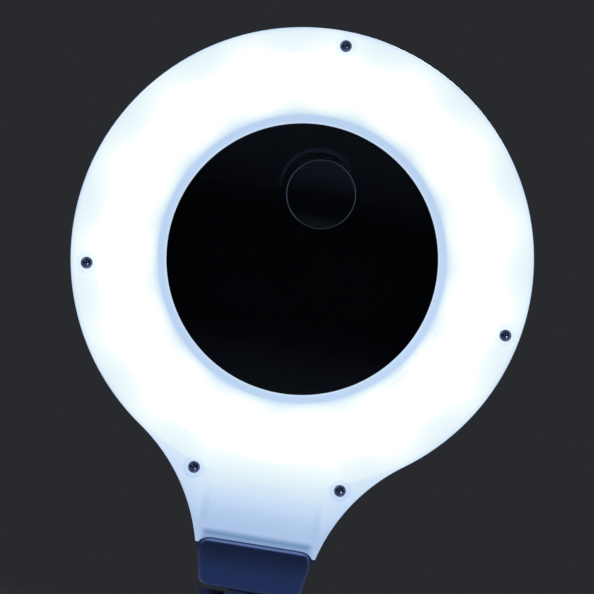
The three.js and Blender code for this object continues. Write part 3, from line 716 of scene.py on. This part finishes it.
# the lens rims carry painted light from the ring
MAIN_EDGE = ground_edge("main_lens_edge", "9FB2CC", 0.2, 0.4, 90, 1)
INSET_EDGE_LOOK = ground_edge("inset_lens_edge", "262C36", 0.012, 0.12, 188, 2)
BOARD_LOOK = circuit_board()
RUBBER = rubber("black_rubber", ("121315", "2B2C2E"))
WASHER_LOOK = rubber("friction_washer", ("1A1A1B", "343436"), grain=0.3, depth=0.02)
LEAD_LOOK = rubber("lead_jacket", ("0D0D0E", "1D1D1F"), grain=1.2, depth=0.02)
SOCKET = grained_plastic("socket_plastic", "15161A", 0.38)
BLACK_NICKEL = turned_metal("black_nickel", ("343B54", "6A7596"), 0.18)
BRIGHT_STEEL = turned_metal("bright_steel", ("A2A6AB", "C0C3C7"), 0.22)
ANODISED = anodised_tube()
IRON = cast_iron()

# ---------------------------------------------------------------- dressing the pieces


def dress(obj, name, where, body, materials, sharp=32):
    """Names a solid, puts it in its frame, and gives it its body, materials and smooth shading."""
    obj.name = obj.data.name = name
    obj.matrix_world = where
    mesh = obj.data
    tidy = bmesh.new()
    tidy.from_mesh(mesh)
    bmesh.ops.remove_doubles(tidy, verts=tidy.verts, dist=2e-6)
    bmesh.ops.dissolve_degenerate(tidy, edges=tidy.edges, dist=1e-6)
    tidy.to_mesh(mesh)
    tidy.free()
    mesh.materials.clear()
    for material in materials if isinstance(materials, list) else [materials]:
        mesh.materials.append(material)
    mesh.shade_smooth()
    mesh.set_sharp_from_angle(angle=radians(sharp))
    weigh = obj.modifiers.new("even_normals", "WEIGHTED_NORMAL")
    weigh.keep_sharp, weigh.weight = True, 100
    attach(obj, body)
    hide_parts(name)
    return obj


def soften(obj, width, angle=40, segments=2):
    """Rounds the hard edges of a solid."""
    bevel = obj.modifiers.new("edges", "BEVEL")
    bevel.width, bevel.segments = width * MM, segments
    bevel.limit_method, bevel.angle_limit = "ANGLE", radians(angle)
    bevel.miter_outer = "MITER_ARC"
    return settle(obj)


def keep(node, material):
    """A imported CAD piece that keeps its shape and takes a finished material."""
    mesh = NODES[node].data
    mesh.materials.clear()
    mesh.materials.append(material)


def material_by(obj, test, index):
    """Gives the faces whose middle, in millimetres, and normal pass the test another of its materials."""
    for face in obj.data.polygons:
        if test(face.center / MM, face.normal):
            face.material_index = index


# ---------------------------------------------------------------- head


def light_shade():
    """The frosted front shell, with the cone down to the lens, the cover's opening and the screw pockets."""
    lip_z = LENS_EDGE / 2 + GAP
    body = raised(shade_outline(SHADE_TIP), rounded(SHADE_SPLIT, HEAD_FRONT, high=SHADE_EDGE_R))
    hollow = raised(shade_outline(SHADE_END - WALL), rounded(-1, HEAD_FRONT - WALL, high=1.5, start=WALL))
    cone = turned(
        [
            (APERTURE_R - 1, lip_z + 0.6),
            (LENS_R, lip_z),
            (RIM_R + WALL, HEAD_FRONT - WALL - 0.1),
            (RIM_R + WALL, HEAD_FRONT),
            (APERTURE_R - 1, HEAD_FRONT),
        ],
        FINE_SIDES,
    )
    e = CONE_EDGE_R
    turns = (0.35, 0.7, 1.05, 1.4, pi / 2)
    edge = [(RIM_R + e * (1 - cos(t)), HEAD_FRONT - e * (1 - sin(t))) for t in turns]
    view = turned(
        [
            (0, -5),
            (APERTURE_R, -5),
            (APERTURE_R, lip_z + 0.6),
            (LIP_R, lip_z + 1.5),
            *edge,
            (RIM_R + CONE_EDGE_R, HEAD_FRONT + 1),
            (0, HEAD_FRONT + 1),
        ],
        FINE_SIDES,
    )
    seam = raised(grown_cover, [(-1, 0), (HEAD_FRONT + 1, 0)])
    body = cut(join(cut(body, hollow), cone), view, seam)
    r, mouth_r, front = SCREW_POCKET_R, SCREW_POCKET_R + 0.35, HEAD_FRONT
    seat = [(0, SCREW_SEAT), (r - 0.3, SCREW_SEAT), (r, SCREW_SEAT + 0.3)]
    mouth = [(r, front - 0.35), (mouth_r, front), (mouth_r, front + 1), (0, front + 1)]
    for x, y in SCREW_PLACES:
        pocket = turned(seat + mouth, 48, x, y)
        boss = bar_z(BOSS_R, SCREW_SEAT - WALL, HEAD_FRONT - WALL + 0.1, x, y, 40)
        hole = bar_z(SCREW_SHANK_R + GAP, SCREW_SEAT - WALL - 1, SCREW_SEAT + 1, x, y, 24)
        body = cut(join(body, boss), pocket, hole)
    return body


def grown_cover(inset):
    """The neck cover's outline with the open seam added all round it."""
    return cover_outline(NECK_END, 0)(inset - SEAM)


def neck_cover():
    body = raised(cover_outline(NECK_END), rounded(SHADE_SPLIT, NECK_FRONT, high=SHADE_EDGE_R))
    hollow = raised(cover_outline(NECK_END), [(-3, WALL), (NECK_FRONT - WALL, WALL)])
    return cut(body, hollow)


def head_casing():
    """The back shell, with the lens seat, pillars, hinge tongue, lid lugs and the well of the button."""
    floor = HEAD_BACK + WALL
    body = raised(casing_outline, rounded(HEAD_BACK, 0, low=CASING_EDGE_R))
    hollow = raised(casing_outline, [(floor, WALL + 1), (floor + 1, WALL), (1, WALL)])
    bore, outer = LENS_R + 2 * GAP, LENS_R + 2 * GAP + WALL
    ledge = -LENS_EDGE / 2 - 1 - 2 * GAP
    seat = turned(
        [
            (APERTURE_R - 1, HEAD_BACK + 0.5),
            (outer, HEAD_BACK + 0.5),
            (outer, LENS_EDGE / 2),
            (bore, LENS_EDGE / 2),
            (bore, ledge),
            (APERTURE_R - 1, ledge),
        ],
        FINE_SIDES,
    )
    outside = HEAD_BACK - 1
    r, turns = VIEW_EDGE_R, (0, 0.5, 1.05, pi / 2)
    soft = [(APERTURE_R + r * (1 - sin(t)), HEAD_BACK + r * (1 - cos(t))) for t in turns]
    view = turned([(0, outside), (soft[0][0], outside), *soft, (APERTURE_R, 5), (0, 5)], FINE_SIDES)
    sill = common(
        box(-COVER_HALF, COVER_HALF, -COVER_TOP - WALL, -SHADE_END + WALL, -WALL, 0),
        raised(casing_outline, [(-WALL - 1, 0.1), (1, 0.1)]),
    )
    body = cut(join(cut(body, hollow), seat, sill), view)
    for x, y in SCREW_PLACES:
        body = join(body, bar_z(PILLAR_R, floor - 0.1, SCREW_SEAT - WALL - GAP, x, y, 24))
        body = cut(body, bar_z(SCREW_SHANK_R + GAP, SCREW_SEAT - SCREW_REACH - 2, SCREW_SEAT, x, y, 16))
    deep = HEAD_BACK + GROOVE_DEEP
    groove = [(GROOVE_IN_R, outside), (GROOVE_OUT_R, outside), (GROOVE_OUT_R, deep), (GROOVE_IN_R, deep)]
    mouth = [(0, outside), (WELL_MOUTH_R, outside), (WELL_MOUTH_R, HEAD_BACK)]
    button_well = [*mouth, (WELL_R, deep), (0, deep)]
    body = join(body, neck_tongue(), *lid_lugs())
    return cut(
        body,
        turned(groove, FINE_SIDES),
        turned(button_well, 64, 0, BUTTON_Y),
        bar_z(BUTTON_R + GAP, HEAD_BACK - 1, floor + 0.1, 0, BUTTON_Y, 64),
        bar_x(AXLE_HOLE_R, -10, 10, -HEAD_REACH, HEAD_AXLE_Z),
    )


def neck_tongue():
    back, front = HEAD_AXLE_Z - TONGUE_DEEP, HEAD_AXLE_Z + TONGUE_DEEP
    return join(
        bar_x(BARREL_R, -TONGUE_HALF, TONGUE_HALF, -HEAD_REACH, HEAD_AXLE_Z, 96),
        box(-TONGUE_HALF, TONGUE_HALF, -HEAD_REACH, -NECK_END - GAP, back, front),
        box(-TONGUE_HALF, TONGUE_HALF, -HEAD_REACH, -NECK_END + 1, back, 0),
    )


def lid_lugs():
    inner, outer = LID_TAB_HALF + 2 * GAP, LID_LUG_OUT
    low, high = LID_HINGE_Y - LID_BARREL_R, LID_HINGE_Y + LID_BARREL_R
    lugs = []
    for x0, x1 in ((-outer, -inner), (inner, outer)):
        barrel = bar_x(LID_BARREL_R, x0, x1, LID_HINGE_Y, LID_HINGE_Z)
        lug = join(barrel, box(x0, x1, low, high, LID_HINGE_Z, HEAD_BACK + 1))
        lugs.append(cut(lug, bar_x(LID_PIN_R + GAP, x0 - 1, x1 + 1, LID_HINGE_Y, LID_HINGE_Z, 24)))
    return lugs


def bulge(r, sag, rim_z, steps):
    sphere = (r * r + sag * sag) / (2 * abs(sag))
    side = 1 if sag > 0 else -1
    spots = [r * i / steps for i in range(steps + 1)]
    return [(at, rim_z + side * (sqrt(sphere**2 - at**2) - sphere + abs(sag))) for at in spots]


def main_lens():
    chamfer, half = 0.4, LENS_EDGE / 2
    front = bulge(LENS_R - chamfer, LENS_SAG, half, 20)
    back = bulge(LENS_R - chamfer, -LENS_SAG, -half, 20)
    rim = [(LENS_R, chamfer - half), (LENS_R, half - chamfer)]
    return turned(back + rim + front[::-1], FINE_SIDES)


def inset_frame():
    """Where the small lens lies: on the front of the main one, leaning with its curve."""
    off = hypot(INSET_X, INSET_Y)
    sphere = (LENS_R**2 + LENS_SAG**2) / (2 * LENS_SAG)
    lean = off / sphere
    front = LENS_EDGE / 2 + sqrt(sphere**2 - off**2) - sphere + LENS_SAG
    tilt = Matrix.Rotation(lean, 4, Vector((-INSET_Y, INSET_X, 0)))
    return HEAD @ Matrix.Translation(Vector((INSET_X, INSET_Y, front + GAP)) * MM) @ tilt


def inset_lens():
    front = bulge(INSET_R - 0.22, INSET_SAG, INSET_EDGE, 10)
    profile = [(0, 0), (INSET_R, 0), (INSET_R, INSET_EDGE - 0.3), *front[::-1]]
    return turned(profile, 96)


def lens_lid():
    """The dish with its finger tab and ribs, its hinge arm and a shallow groove round its back."""
    outer = [(0, 4.8), (12, 4.68), (24, 4.3), (36, 3.62), (44, 3.1), (47, 2.75), (49.6, 2.1), (51.1, 1.4)]
    rim = [(LID_R, 0.9), (LID_R, 0.15), (LID_R - 0.15, 0), (49.2, 0), (49, 0)]
    inner = [(44, 0.8), (24, 2.0), (0, 2.5)]
    dish = turned([(r, LID_SEAT - down) for r, down in outer + rim + inner], FINE_SIDES)
    to_seat = Matrix.Translation((0, 0, LID_SEAT * MM))
    tab = turned([(0, -1.4), (6.4, -1.4), (7, -1.0), (7, -0.5), (6.6, -0.1), (0, -0.1)], 64, 0, 2.5 - LID_R)
    turn_points(tab, to_seat)
    tab = cut(tab, bar_z(49.3, LID_SEAT - 2, LID_SEAT + 1, sides=FINE_SIDES))
    ribs = [box(-3.2, 3.2, y - 0.35, y + 0.35, LID_SEAT - 1.8, LID_SEAT - 1.3) for y in RIB_PLACES]
    arm = box(-LID_TAB_HALF, LID_TAB_HALF, 48, LID_HINGE_Y, LID_HINGE_Z - 1, LID_HINGE_Z + 1.4)
    barrel = bar_x(LID_BARREL_R, -LID_TAB_HALF, LID_TAB_HALF, LID_HINGE_Y, LID_HINGE_Z)
    groove = turned([(39.6, -6), (40.4, -6), (40.4, -3.0), (39.6, -3.0)], FINE_SIDES)
    body = cut(join(dish, tab, arm, barrel, *ribs), turn_points(groove, to_seat))
    return cut(body, bar_x(LID_PIN_R + GAP, -9, 9, LID_HINGE_Y, LID_HINGE_Z, 24))


def power_button():
    face, inner = HEAD_BACK - 1.3, HEAD_BACK + WALL + GAP
    dish = [(0, face + 0.45), (2, face + 0.4), (4, face + 0.2), (4.9, face + 0.03), (5.2, face)]
    side = [(5.6, face + 0.12), (5.9, face + 0.45), (BUTTON_R, face + 0.9), (BUTTON_R, inner)]
    flange = [(BUTTON_FLANGE_R, inner), (BUTTON_FLANGE_R, inner + 1), (0, inner + 1)]
    return turned(dish + side + flange, 64, 0, BUTTON_Y)


def cross_recess(top, depth, reach=1.35, half=0.36):
    """The tapered cross of a screw's drive, as a cutter."""
    arms = []
    floor, mouth = (top - depth, reach * 0.08, half * 0.6), (top + 0.3, reach * 1.05, half * 1.05)
    for turn in (0, pi / 2):
        rings = [[(-x, -y, z), (x, -y, z), (x, y, z), (-x, y, z)] for z, x, y in (floor, mouth)]
        arms.append(turn_points(loft(rings), Matrix.Rotation(turn, 4, "Z")))
    return join(*arms)


def shade_screw():
    tip, under = SCREW_SEAT - SCREW_REACH, SCREW_SEAT + GAP
    side, dome = 0.75, SCREW_HEAD - 0.75
    crown = [(SCREW_HEAD_R * cos(t), under + side + dome * sin(t)) for t in (0, 0.3, 0.6, 0.9, 1.2, 1.4)]
    thread = []
    for i in range(14):
        z = tip + 1 + i * THREAD_PITCH
        thread += [(0.95, z), (SCREW_SHANK_R, z + THREAD_PITCH / 2)]
    shank = [(0, tip), (0.6, tip + 0.6), *thread, (SCREW_SHANK_R, under)]
    head = [(SCREW_HEAD_R - 0.1, under), (SCREW_HEAD_R, under + 0.1), *crown, (0, under + SCREW_HEAD)]
    return cut(turned(shank + head, 40), cross_recess(under + SCREW_HEAD, 0.66))


# ---------------------------------------------------------------- arm
INNER_X = TUBE_X - 2 * TUBE_WALL
INNER_Y = TUBE_Y - 2 * TUBE_WALL
INNER_CORNER_R = TUBE_CORNER_R - TUBE_WALL
PLUG_SHAPE = rounded_rectangle(INNER_X - 2 * GAP, INNER_Y - 2 * GAP, INNER_CORNER_R - GAP)
COLLAR_SHAPE = rounded_rectangle(2 * EAR_OUT, 2 * BARREL_R, COLLAR_CORNER_R)


def ears(depth):
    block = raised(COLLAR_SHAPE, [(-depth, 0), (BARREL_R + 1, 0)])
    side = join(
        bar_x(BARREL_R, -EAR_OUT, EAR_OUT, sides=96),
        box(-EAR_OUT, EAR_OUT, -BARREL_R, BARREL_R, -depth, 0),
    )
    body = common(block, side)
    return cut(body, box(-EAR_IN, EAR_IN, -20, 20, -SLOT_DEPTH, 20), bar_x(AXLE_HOLE_R, -30, 30))


def plug_screw_hole(z):
    return bar_y(PLUG_SCREW_R + GAP, 3.5, TUBE_Y, 0, z, 24)


def fork():
    depth = SLOT_DEPTH + COLLAR
    body = join(soften(ears(depth), EAR_EDGE_R), raised(PLUG_SHAPE, [(-depth - PLUG, 0), (1 - depth, 0)]))
    lead = bar_z(LEAD_HOLE_R, -depth - PLUG - 1, 1 - SLOT_DEPTH, 0, 0, 32)
    return cut(body, lead, plug_screw_hole(-depth - PLUG / 2))


def tongue():
    top = TONGUE_REACH + COLLAR
    body = join(
        bar_x(BARREL_R, -TONGUE_HALF, TONGUE_HALF, sides=96),
        box(-TONGUE_HALF, TONGUE_HALF, -TONGUE_DEEP, TONGUE_DEEP, 0, TONGUE_REACH + 1),
    )
    body = cut(body, bar_x(AXLE_HOLE_R, -30, 30))
    collar = raised(COLLAR_SHAPE, rounded(TONGUE_REACH, top, low=0.8, high=0.4))
    body = join(body, collar, raised(PLUG_SHAPE, [(top - 0.1, 0), (top + PLUG, 0)]))
    lead = bar_z(LEAD_HOLE_R, TONGUE_REACH + 1, top + PLUG + 1, 0, 0, 32)
    return cut(body, lead, plug_screw_hole(top + PLUG / 2))


def arm_tube(length):
    bottom, top = TONGUE_REACH + COLLAR + GAP, length - SLOT_DEPTH - COLLAR - GAP
    outer = raised(rounded_rectangle(TUBE_X, TUBE_Y, TUBE_CORNER_R), rounded(bottom, top, 0.4, 0.4, 3))
    inner = raised(rounded_rectangle(INNER_X, INNER_Y, INNER_CORNER_R), [(bottom - 1, 0), (top + 1, 0)])
    holes = [plug_screw_hole(bottom - GAP + PLUG / 2), plug_screw_hole(top + GAP - PLUG / 2)]
    return cut(outer, inner, *holes)


def plug_screw():
    """A pan-head screw, along Z with its head at the top."""
    crown = [(PLUG_SCREW_HEAD_R * cos(t), 0.5 + 1.0 * sin(t)) for t in (0, 0.35, 0.7, 1.05, 1.35)]
    face = TUBE_Y / 2 + GAP
    shank = [(0, 4 - face), (1.2, 4 - face), (PLUG_SCREW_R, 4.5 - face), (PLUG_SCREW_R, 0)]
    head = [(PLUG_SCREW_HEAD_R - 0.1, 0), (PLUG_SCREW_HEAD_R, 0.1), *crown, (0, 1.5)]
    return cut(turned(shank + head, 40), cross_recess(1.5, 1.0, 1.5, 0.4))


def hinge_axle():
    """A bolt along Z with a dished head and a hexagon socket."""
    face = EAR_OUT + GAP
    shank = [(0, -EAR_OUT - 4), (AXLE_R - 0.5, -EAR_OUT - 4), (AXLE_R, -EAR_OUT - 3.5), (AXLE_R, face)]
    rim = [(6.2, 0), (6.5, 0.3), (6.5, 1.5), (6.2, 2.2), (5.6, 2.8), (4.8, 3.1), (4.2, 3.2), (0, 3.2)]
    body = turned(shank + [(r, face + up) for r, up in rim], 64)
    socket = turned([(0, face + 1.0), (2.2, face + 1.2), (2.3, face + 4), (0, face + 4)], 6)
    return cut(body, socket)


def hinge_nut():
    """A domed cap nut along Z with six flats under its dome."""
    face = EAR_OUT + GAP
    dome = [(5.2 * sin(t), -face - 2.6 - 3.4 * cos(t)) for t in (0, 0.3, 0.6, 0.9, 1.2, 1.45)]
    bore = [(6, -face), (AXLE_HOLE_R, -face), (AXLE_HOLE_R, -EAR_OUT - 4.4), (0, -EAR_OUT - 4.4)]
    body = turned([*dome, (5.3, -face - 2.5), (5.7, -face - 2.2), (6, -face - 1.8), *bore], 64)
    flats = [(0, -7), (6.6, -7), (6.6, -0.8), (8, -0.7), (8, 1), (0, 1)]
    return common(body, turned([(r, up - face) for r, up in flats], 6))


# ---------------------------------------------------------------- base


def turret():
    levels = (BASE_TOP + GAP, TURRET_TOP, BASE_TOP - BASE_WALL - GAP)
    bottom, top, spigot = (z - SHOULDER.z / MM for z in levels)
    r, turns = TURRET_EDGE_R, (0, 0.3, 0.6, 0.9, 1.2, pi / 2)
    crown = [(TURRET_R - r + r * cos(t), top - r + r * sin(t)) for t in turns]
    profile = [
        (0, spigot),
        (SPIGOT_R, spigot),
        (SPIGOT_R, bottom),
        (TURRET_R - 0.4, bottom),
        (TURRET_R, bottom + 0.4),
        (TURRET_R, bottom + 1.6),
        (TURRET_R - 0.5, bottom + 1.8),
        (TURRET_R - 0.5, bottom + 2.4),
        (TURRET_R, bottom + 2.6),
        *crown,
        (0, top),
    ]
    body = join(turned(profile, 128), soften(ears(0.1 - top), EAR_EDGE_R))
    return cut(body, bar_z(2.5, spigot - 1, top - 2))


def dome_profile(inset, steps):
    turns = [pi / 2 * i / steps for i in range(steps + 1)]
    across, height = BASE_R - BASE_FLAT_R - inset, BASE_TOP - BASE_RIM - inset
    return [(BASE_FLAT_R + across * cos(t), BASE_RIM + height * sin(t)) for t in turns]


def base_cover():
    bottom = PAD + GAP
    profile = [
        (BASE_R - BASE_WALL, bottom),
        (BASE_R - 0.5, bottom),
        (BASE_R, bottom + 0.5),
        (BASE_R, BASE_RIM - 3.4),
        (BASE_R - 0.6, BASE_RIM - 3.1),
        (BASE_R - 0.6, BASE_RIM - 2.5),
        (BASE_R, BASE_RIM - 2.2),
        *dome_profile(0, 28),
        (BASE_BORE_R + 0.5, BASE_TOP),
        (BASE_BORE_R, BASE_TOP - 0.5),
        (BASE_BORE_R, BASE_TOP - BASE_WALL),
        *dome_profile(BASE_WALL, 28)[::-1],
    ]
    body = turned(profile, 192)
    hole_r = INLET_R + GAP
    mouth = [(0, 80), (hole_r, 80), (hole_r, 88), (INLET_R + 1.6, BASE_R), (INLET_R + 2, 95), (0, 95)]
    mouth = turn_points(turned(mouth, 48), Matrix.Rotation(-pi / 2, 4, "X"))
    return cut(body, turn_points(mouth, Matrix.Translation((0, 0, INLET_Z * MM))))


def base_pad():
    """A disc of rubber with rings of tread cut in its underside."""
    treads = []
    for r in range(30, 86, 6):
        treads += [(r, 0), (r, TREAD_DEEP), (r + TREAD_WIDE, TREAD_DEEP), (r + TREAD_WIDE, 0)]
    edge = [(PAD_R - 0.5, 0), (PAD_R, 0.5), (PAD_R, PAD - 0.4), (PAD_R - 0.4, PAD)]
    return turned([(0, 0), *treads, *edge, (0, PAD)], FINE_SIDES)


def power_inlet():
    """A socket: a tube with a pin in its middle, on the front of a block."""
    back, face = 78, BASE_R - 1
    body = join(bar_y(INLET_R, back, face, 0, INLET_Z, 48), box(-6, 6, 72, 81, INLET_Z - 3.2, INLET_Z + 5))
    body = cut(body, bar_y(2.8, back + 1, face + 1, 0, INLET_Z, 40))
    return join(body, bar_y(0.9, back + 0.5, face - 1, 0, INLET_Z, 24))


# ---------------------------------------------------------------- assembly
ALONG_X = Matrix.Rotation(pi / 2, 4, "Y")


def build_head():
    dress(light_shade(), "light_shade", HEAD, "head", SHADE)
    cover = dress(neck_cover(), "neck_cover", HEAD, "head", [COVER, COVER_EDGE])
    # the cover's top edge takes the painted light from the shade's end wall
    material_by(cover, lambda at, n: at.y > -COVER_TOP - 1.3 and n.z > 0.1 and n.y > 0.08, 1)
    dress(head_casing(), "head_casing", HEAD, "head", CASING)
    lens = dress(main_lens(), "main_lens", HEAD, "head", [MAIN_GLASS, MAIN_EDGE])
    # the rims of the lenses take the painted glow
    material_by(lens, lambda at, _: hypot(at.x, at.y) > LENS_R - 0.5, 1)
    small = dress(inset_lens(), "inset_lens", inset_frame(), "head", [GLASS, INSET_EDGE_LOOK])
    material_by(small, lambda at, n: hypot(at.x, at.y) > INSET_R - 0.25 and n.z > -0.5, 1)
    lid = dress(lens_lid(), "lens_lid", HEAD, "lid", [LID, LID_INSIDE])
    material_by(lid, lambda at, n: n.z > 0.5 and hypot(at.x, at.y) < APERTURE_R + 2, 1)
    dress(power_button(), "power_button", HEAD, "button", RUBBER)
    for i, (x, y) in enumerate(SCREW_PLACES):
        where = HEAD @ Matrix.Translation(Vector((x, y, 0)) * MM) @ Matrix.Rotation(0.8 + 0.06 * i, 4, "Z")
        dress(shade_screw(), f"shade_screw_{i + 1}", where, "head", BLACK_NICKEL)


def build_hinge(name, origin, body):
    where = origin @ ALONG_X
    dress(hinge_axle(), f"{name}_axle", where, body, BRIGHT_STEEL)
    dress(hinge_nut(), f"{name}_nut", where, body, BRIGHT_STEEL)


def build_section(name, origin, length, hinge):
    top = origin @ Matrix.Translation((0, 0, length * MM))
    dress(arm_tube(length), f"{name}_tube", origin, name, ANODISED)
    dress(fork(), f"{name}_fork", top, name, CASTING)
    dress(tongue(), f"{name}_tongue", origin, name, CASTING)
    back = Matrix.Rotation(-pi / 2, 4, "X")
    places = {"bottom": TONGUE_REACH + COLLAR + PLUG / 2, "top": length - SLOT_DEPTH - COLLAR - PLUG / 2}
    for end, z in places.items():
        spot = Matrix.Translation(Vector((0, TUBE_Y / 2 + GAP, z)) * MM)
        screw = f"{name}_screw_{end}"
        dress(plug_screw(), screw, origin @ spot @ back, name, BLACK_NICKEL)
    build_hinge(hinge, top, name)


def build_base():
    dress(turret(), "turret", TURRET, "turret", CASTING)
    build_hinge("shoulder", TURRET, "turret")
    dress(base_cover(), "base_cover", WORLD, "base", CASING)
    dress(base_pad(), "base_pad", WORLD, "base", RUBBER)
    dress(power_inlet(), "power_inlet", WORLD, "base", SOCKET)


def finish_carried_over():
    for node, obj in NODES.items():
        if obj.hide_render:
            continue
        if "washer" in node and node != "turret_washer":
            keep(node, WASHER_LOOK)
        elif "lead" in node:
            keep(node, LEAD_LOOK)
        elif "board" in node:
            keep(node, BOARD_LOOK)
        elif "gasket" in node:
            keep(node, RUBBER)
        elif "weight" in node:
            keep(node, IRON)
        elif node == "base_plate":
            keep(node, CASTING)
        elif "base_screw" in node:
            keep(node, BLACK_NICKEL)
        else:
            keep(node, BRIGHT_STEEL)


# ---------------------------------------------------------------- studio
CAMERA_AWAY = 900  # from the head's face
PICTURE_WIDTH = 207.4  # seen at the head's face
CAMERA_ROLL = radians(9.2)
LOOK_RIGHT = -1.85  # the picture's middle, from the lens axis
LOOK_UP = -13.35
FLOOR_R = 3400


def make_camera():
    data = bpy.data.cameras.new("camera")
    data.lens = data.sensor_width * CAMERA_AWAY / PICTURE_WIDTH
    data.clip_start, data.clip_end = 0.01, 50
    camera = bpy.data.objects.new("camera", data)
    bpy.context.scene.collection.objects.link(camera)
    right = Vector((cos(CAMERA_ROLL), 0, sin(CAMERA_ROLL)))
    up = Vector((-sin(CAMERA_ROLL), 0, cos(CAMERA_ROLL)))
    back = Vector((0, -1, 0))
    face = LENS_CENTRE + back * HEAD_FRONT * MM
    spot = face + (right * LOOK_RIGHT + up * LOOK_UP + back * CAMERA_AWAY) * MM
    turn = Matrix((right, up, back)).transposed()
    camera.matrix_world = Matrix.Translation(spot) @ turn.to_4x4()
    bpy.context.scene.camera = camera


def make_light(name, spot, toward, size, power, colour):
    data = bpy.data.lights.new(name, "AREA")
    data.shape, data.size, data.energy, data.color = "DISK", size, power, colour
    light = bpy.data.objects.new(name, data)
    light.location = spot
    light.rotation_euler = (Vector(toward) - Vector(spot)).to_track_quat("-Z", "Y").to_euler()
    light.visible_camera = False
    bpy.context.scene.collection.objects.link(light)


def make_world():
    world = bpy.data.worlds.new("studio")
    bpy.context.scene.world = world
    world.use_nodes = True
    tree = world.node_tree
    place = tree.nodes.new("ShaderNodeTexCoord")
    split = tree.nodes.new("ShaderNodeSeparateXYZ")
    ramp = tree.nodes.new("ShaderNodeValToRGB")
    tree.links.new(place.outputs["Generated"], split.inputs[0])
    tree.links.new(split.outputs["Z"], ramp.inputs[0])
    tree.links.new(ramp.outputs[0], tree.nodes["Background"].inputs[0])
    low, high = ramp.color_ramp.elements
    low.position, low.color = 0.3, (0.022, 0.023, 0.026, 1)
    high.position, high.color = 0.95, (0.36, 0.37, 0.39, 1)


def make_floor():
    """A pale floor that fades into the backdrop before its edge."""
    floor = turned([(0, -2), (FLOOR_R, -2), (FLOOR_R, 0), (1200, 0), (0, 0)], 96)
    floor.name = floor.data.name = "floor"
    look = Look("pale_floor", Roughness=0.75, IOR=1.4)
    tones = [(0.3, rgb("DBDBD9")), (0.7, rgb("DEDEDC"))]
    look.set("Base Color", look.ramp(look.noise(60, detail=5.0), tones))
    look.set("Alpha", look.step(look.length(look.place), 0.9, 3.2, 1.0, 0.0))
    look.bump(look.noise(2.0, detail=4.0), 0.05)
    floor.data.materials.append(look.material)


build_head()
build_section("lower_arm", LOWER, LOWER_LENGTH, "elbow")
build_section("upper_arm", UPPER, UPPER_LENGTH, "head_hinge")
build_base()
finish_carried_over()

make_camera()
make_world()
make_floor()
make_light("key", (-1.3, -0.5, 1.5), (0, 0, 0.35), 0.8, 14, (1, 0.98, 0.95))
make_light("fill", (1.4, -0.45, 0.8), (0, 0, 0.3), 0.9, 6, (0.9, 0.95, 1))
make_light("back", (0.4, 1.3, 1.3), (0, 0, 0.35), 0.8, 13, (0.97, 0.98, 1))
bpy.context.scene.view_settings.view_transform = "Standard"
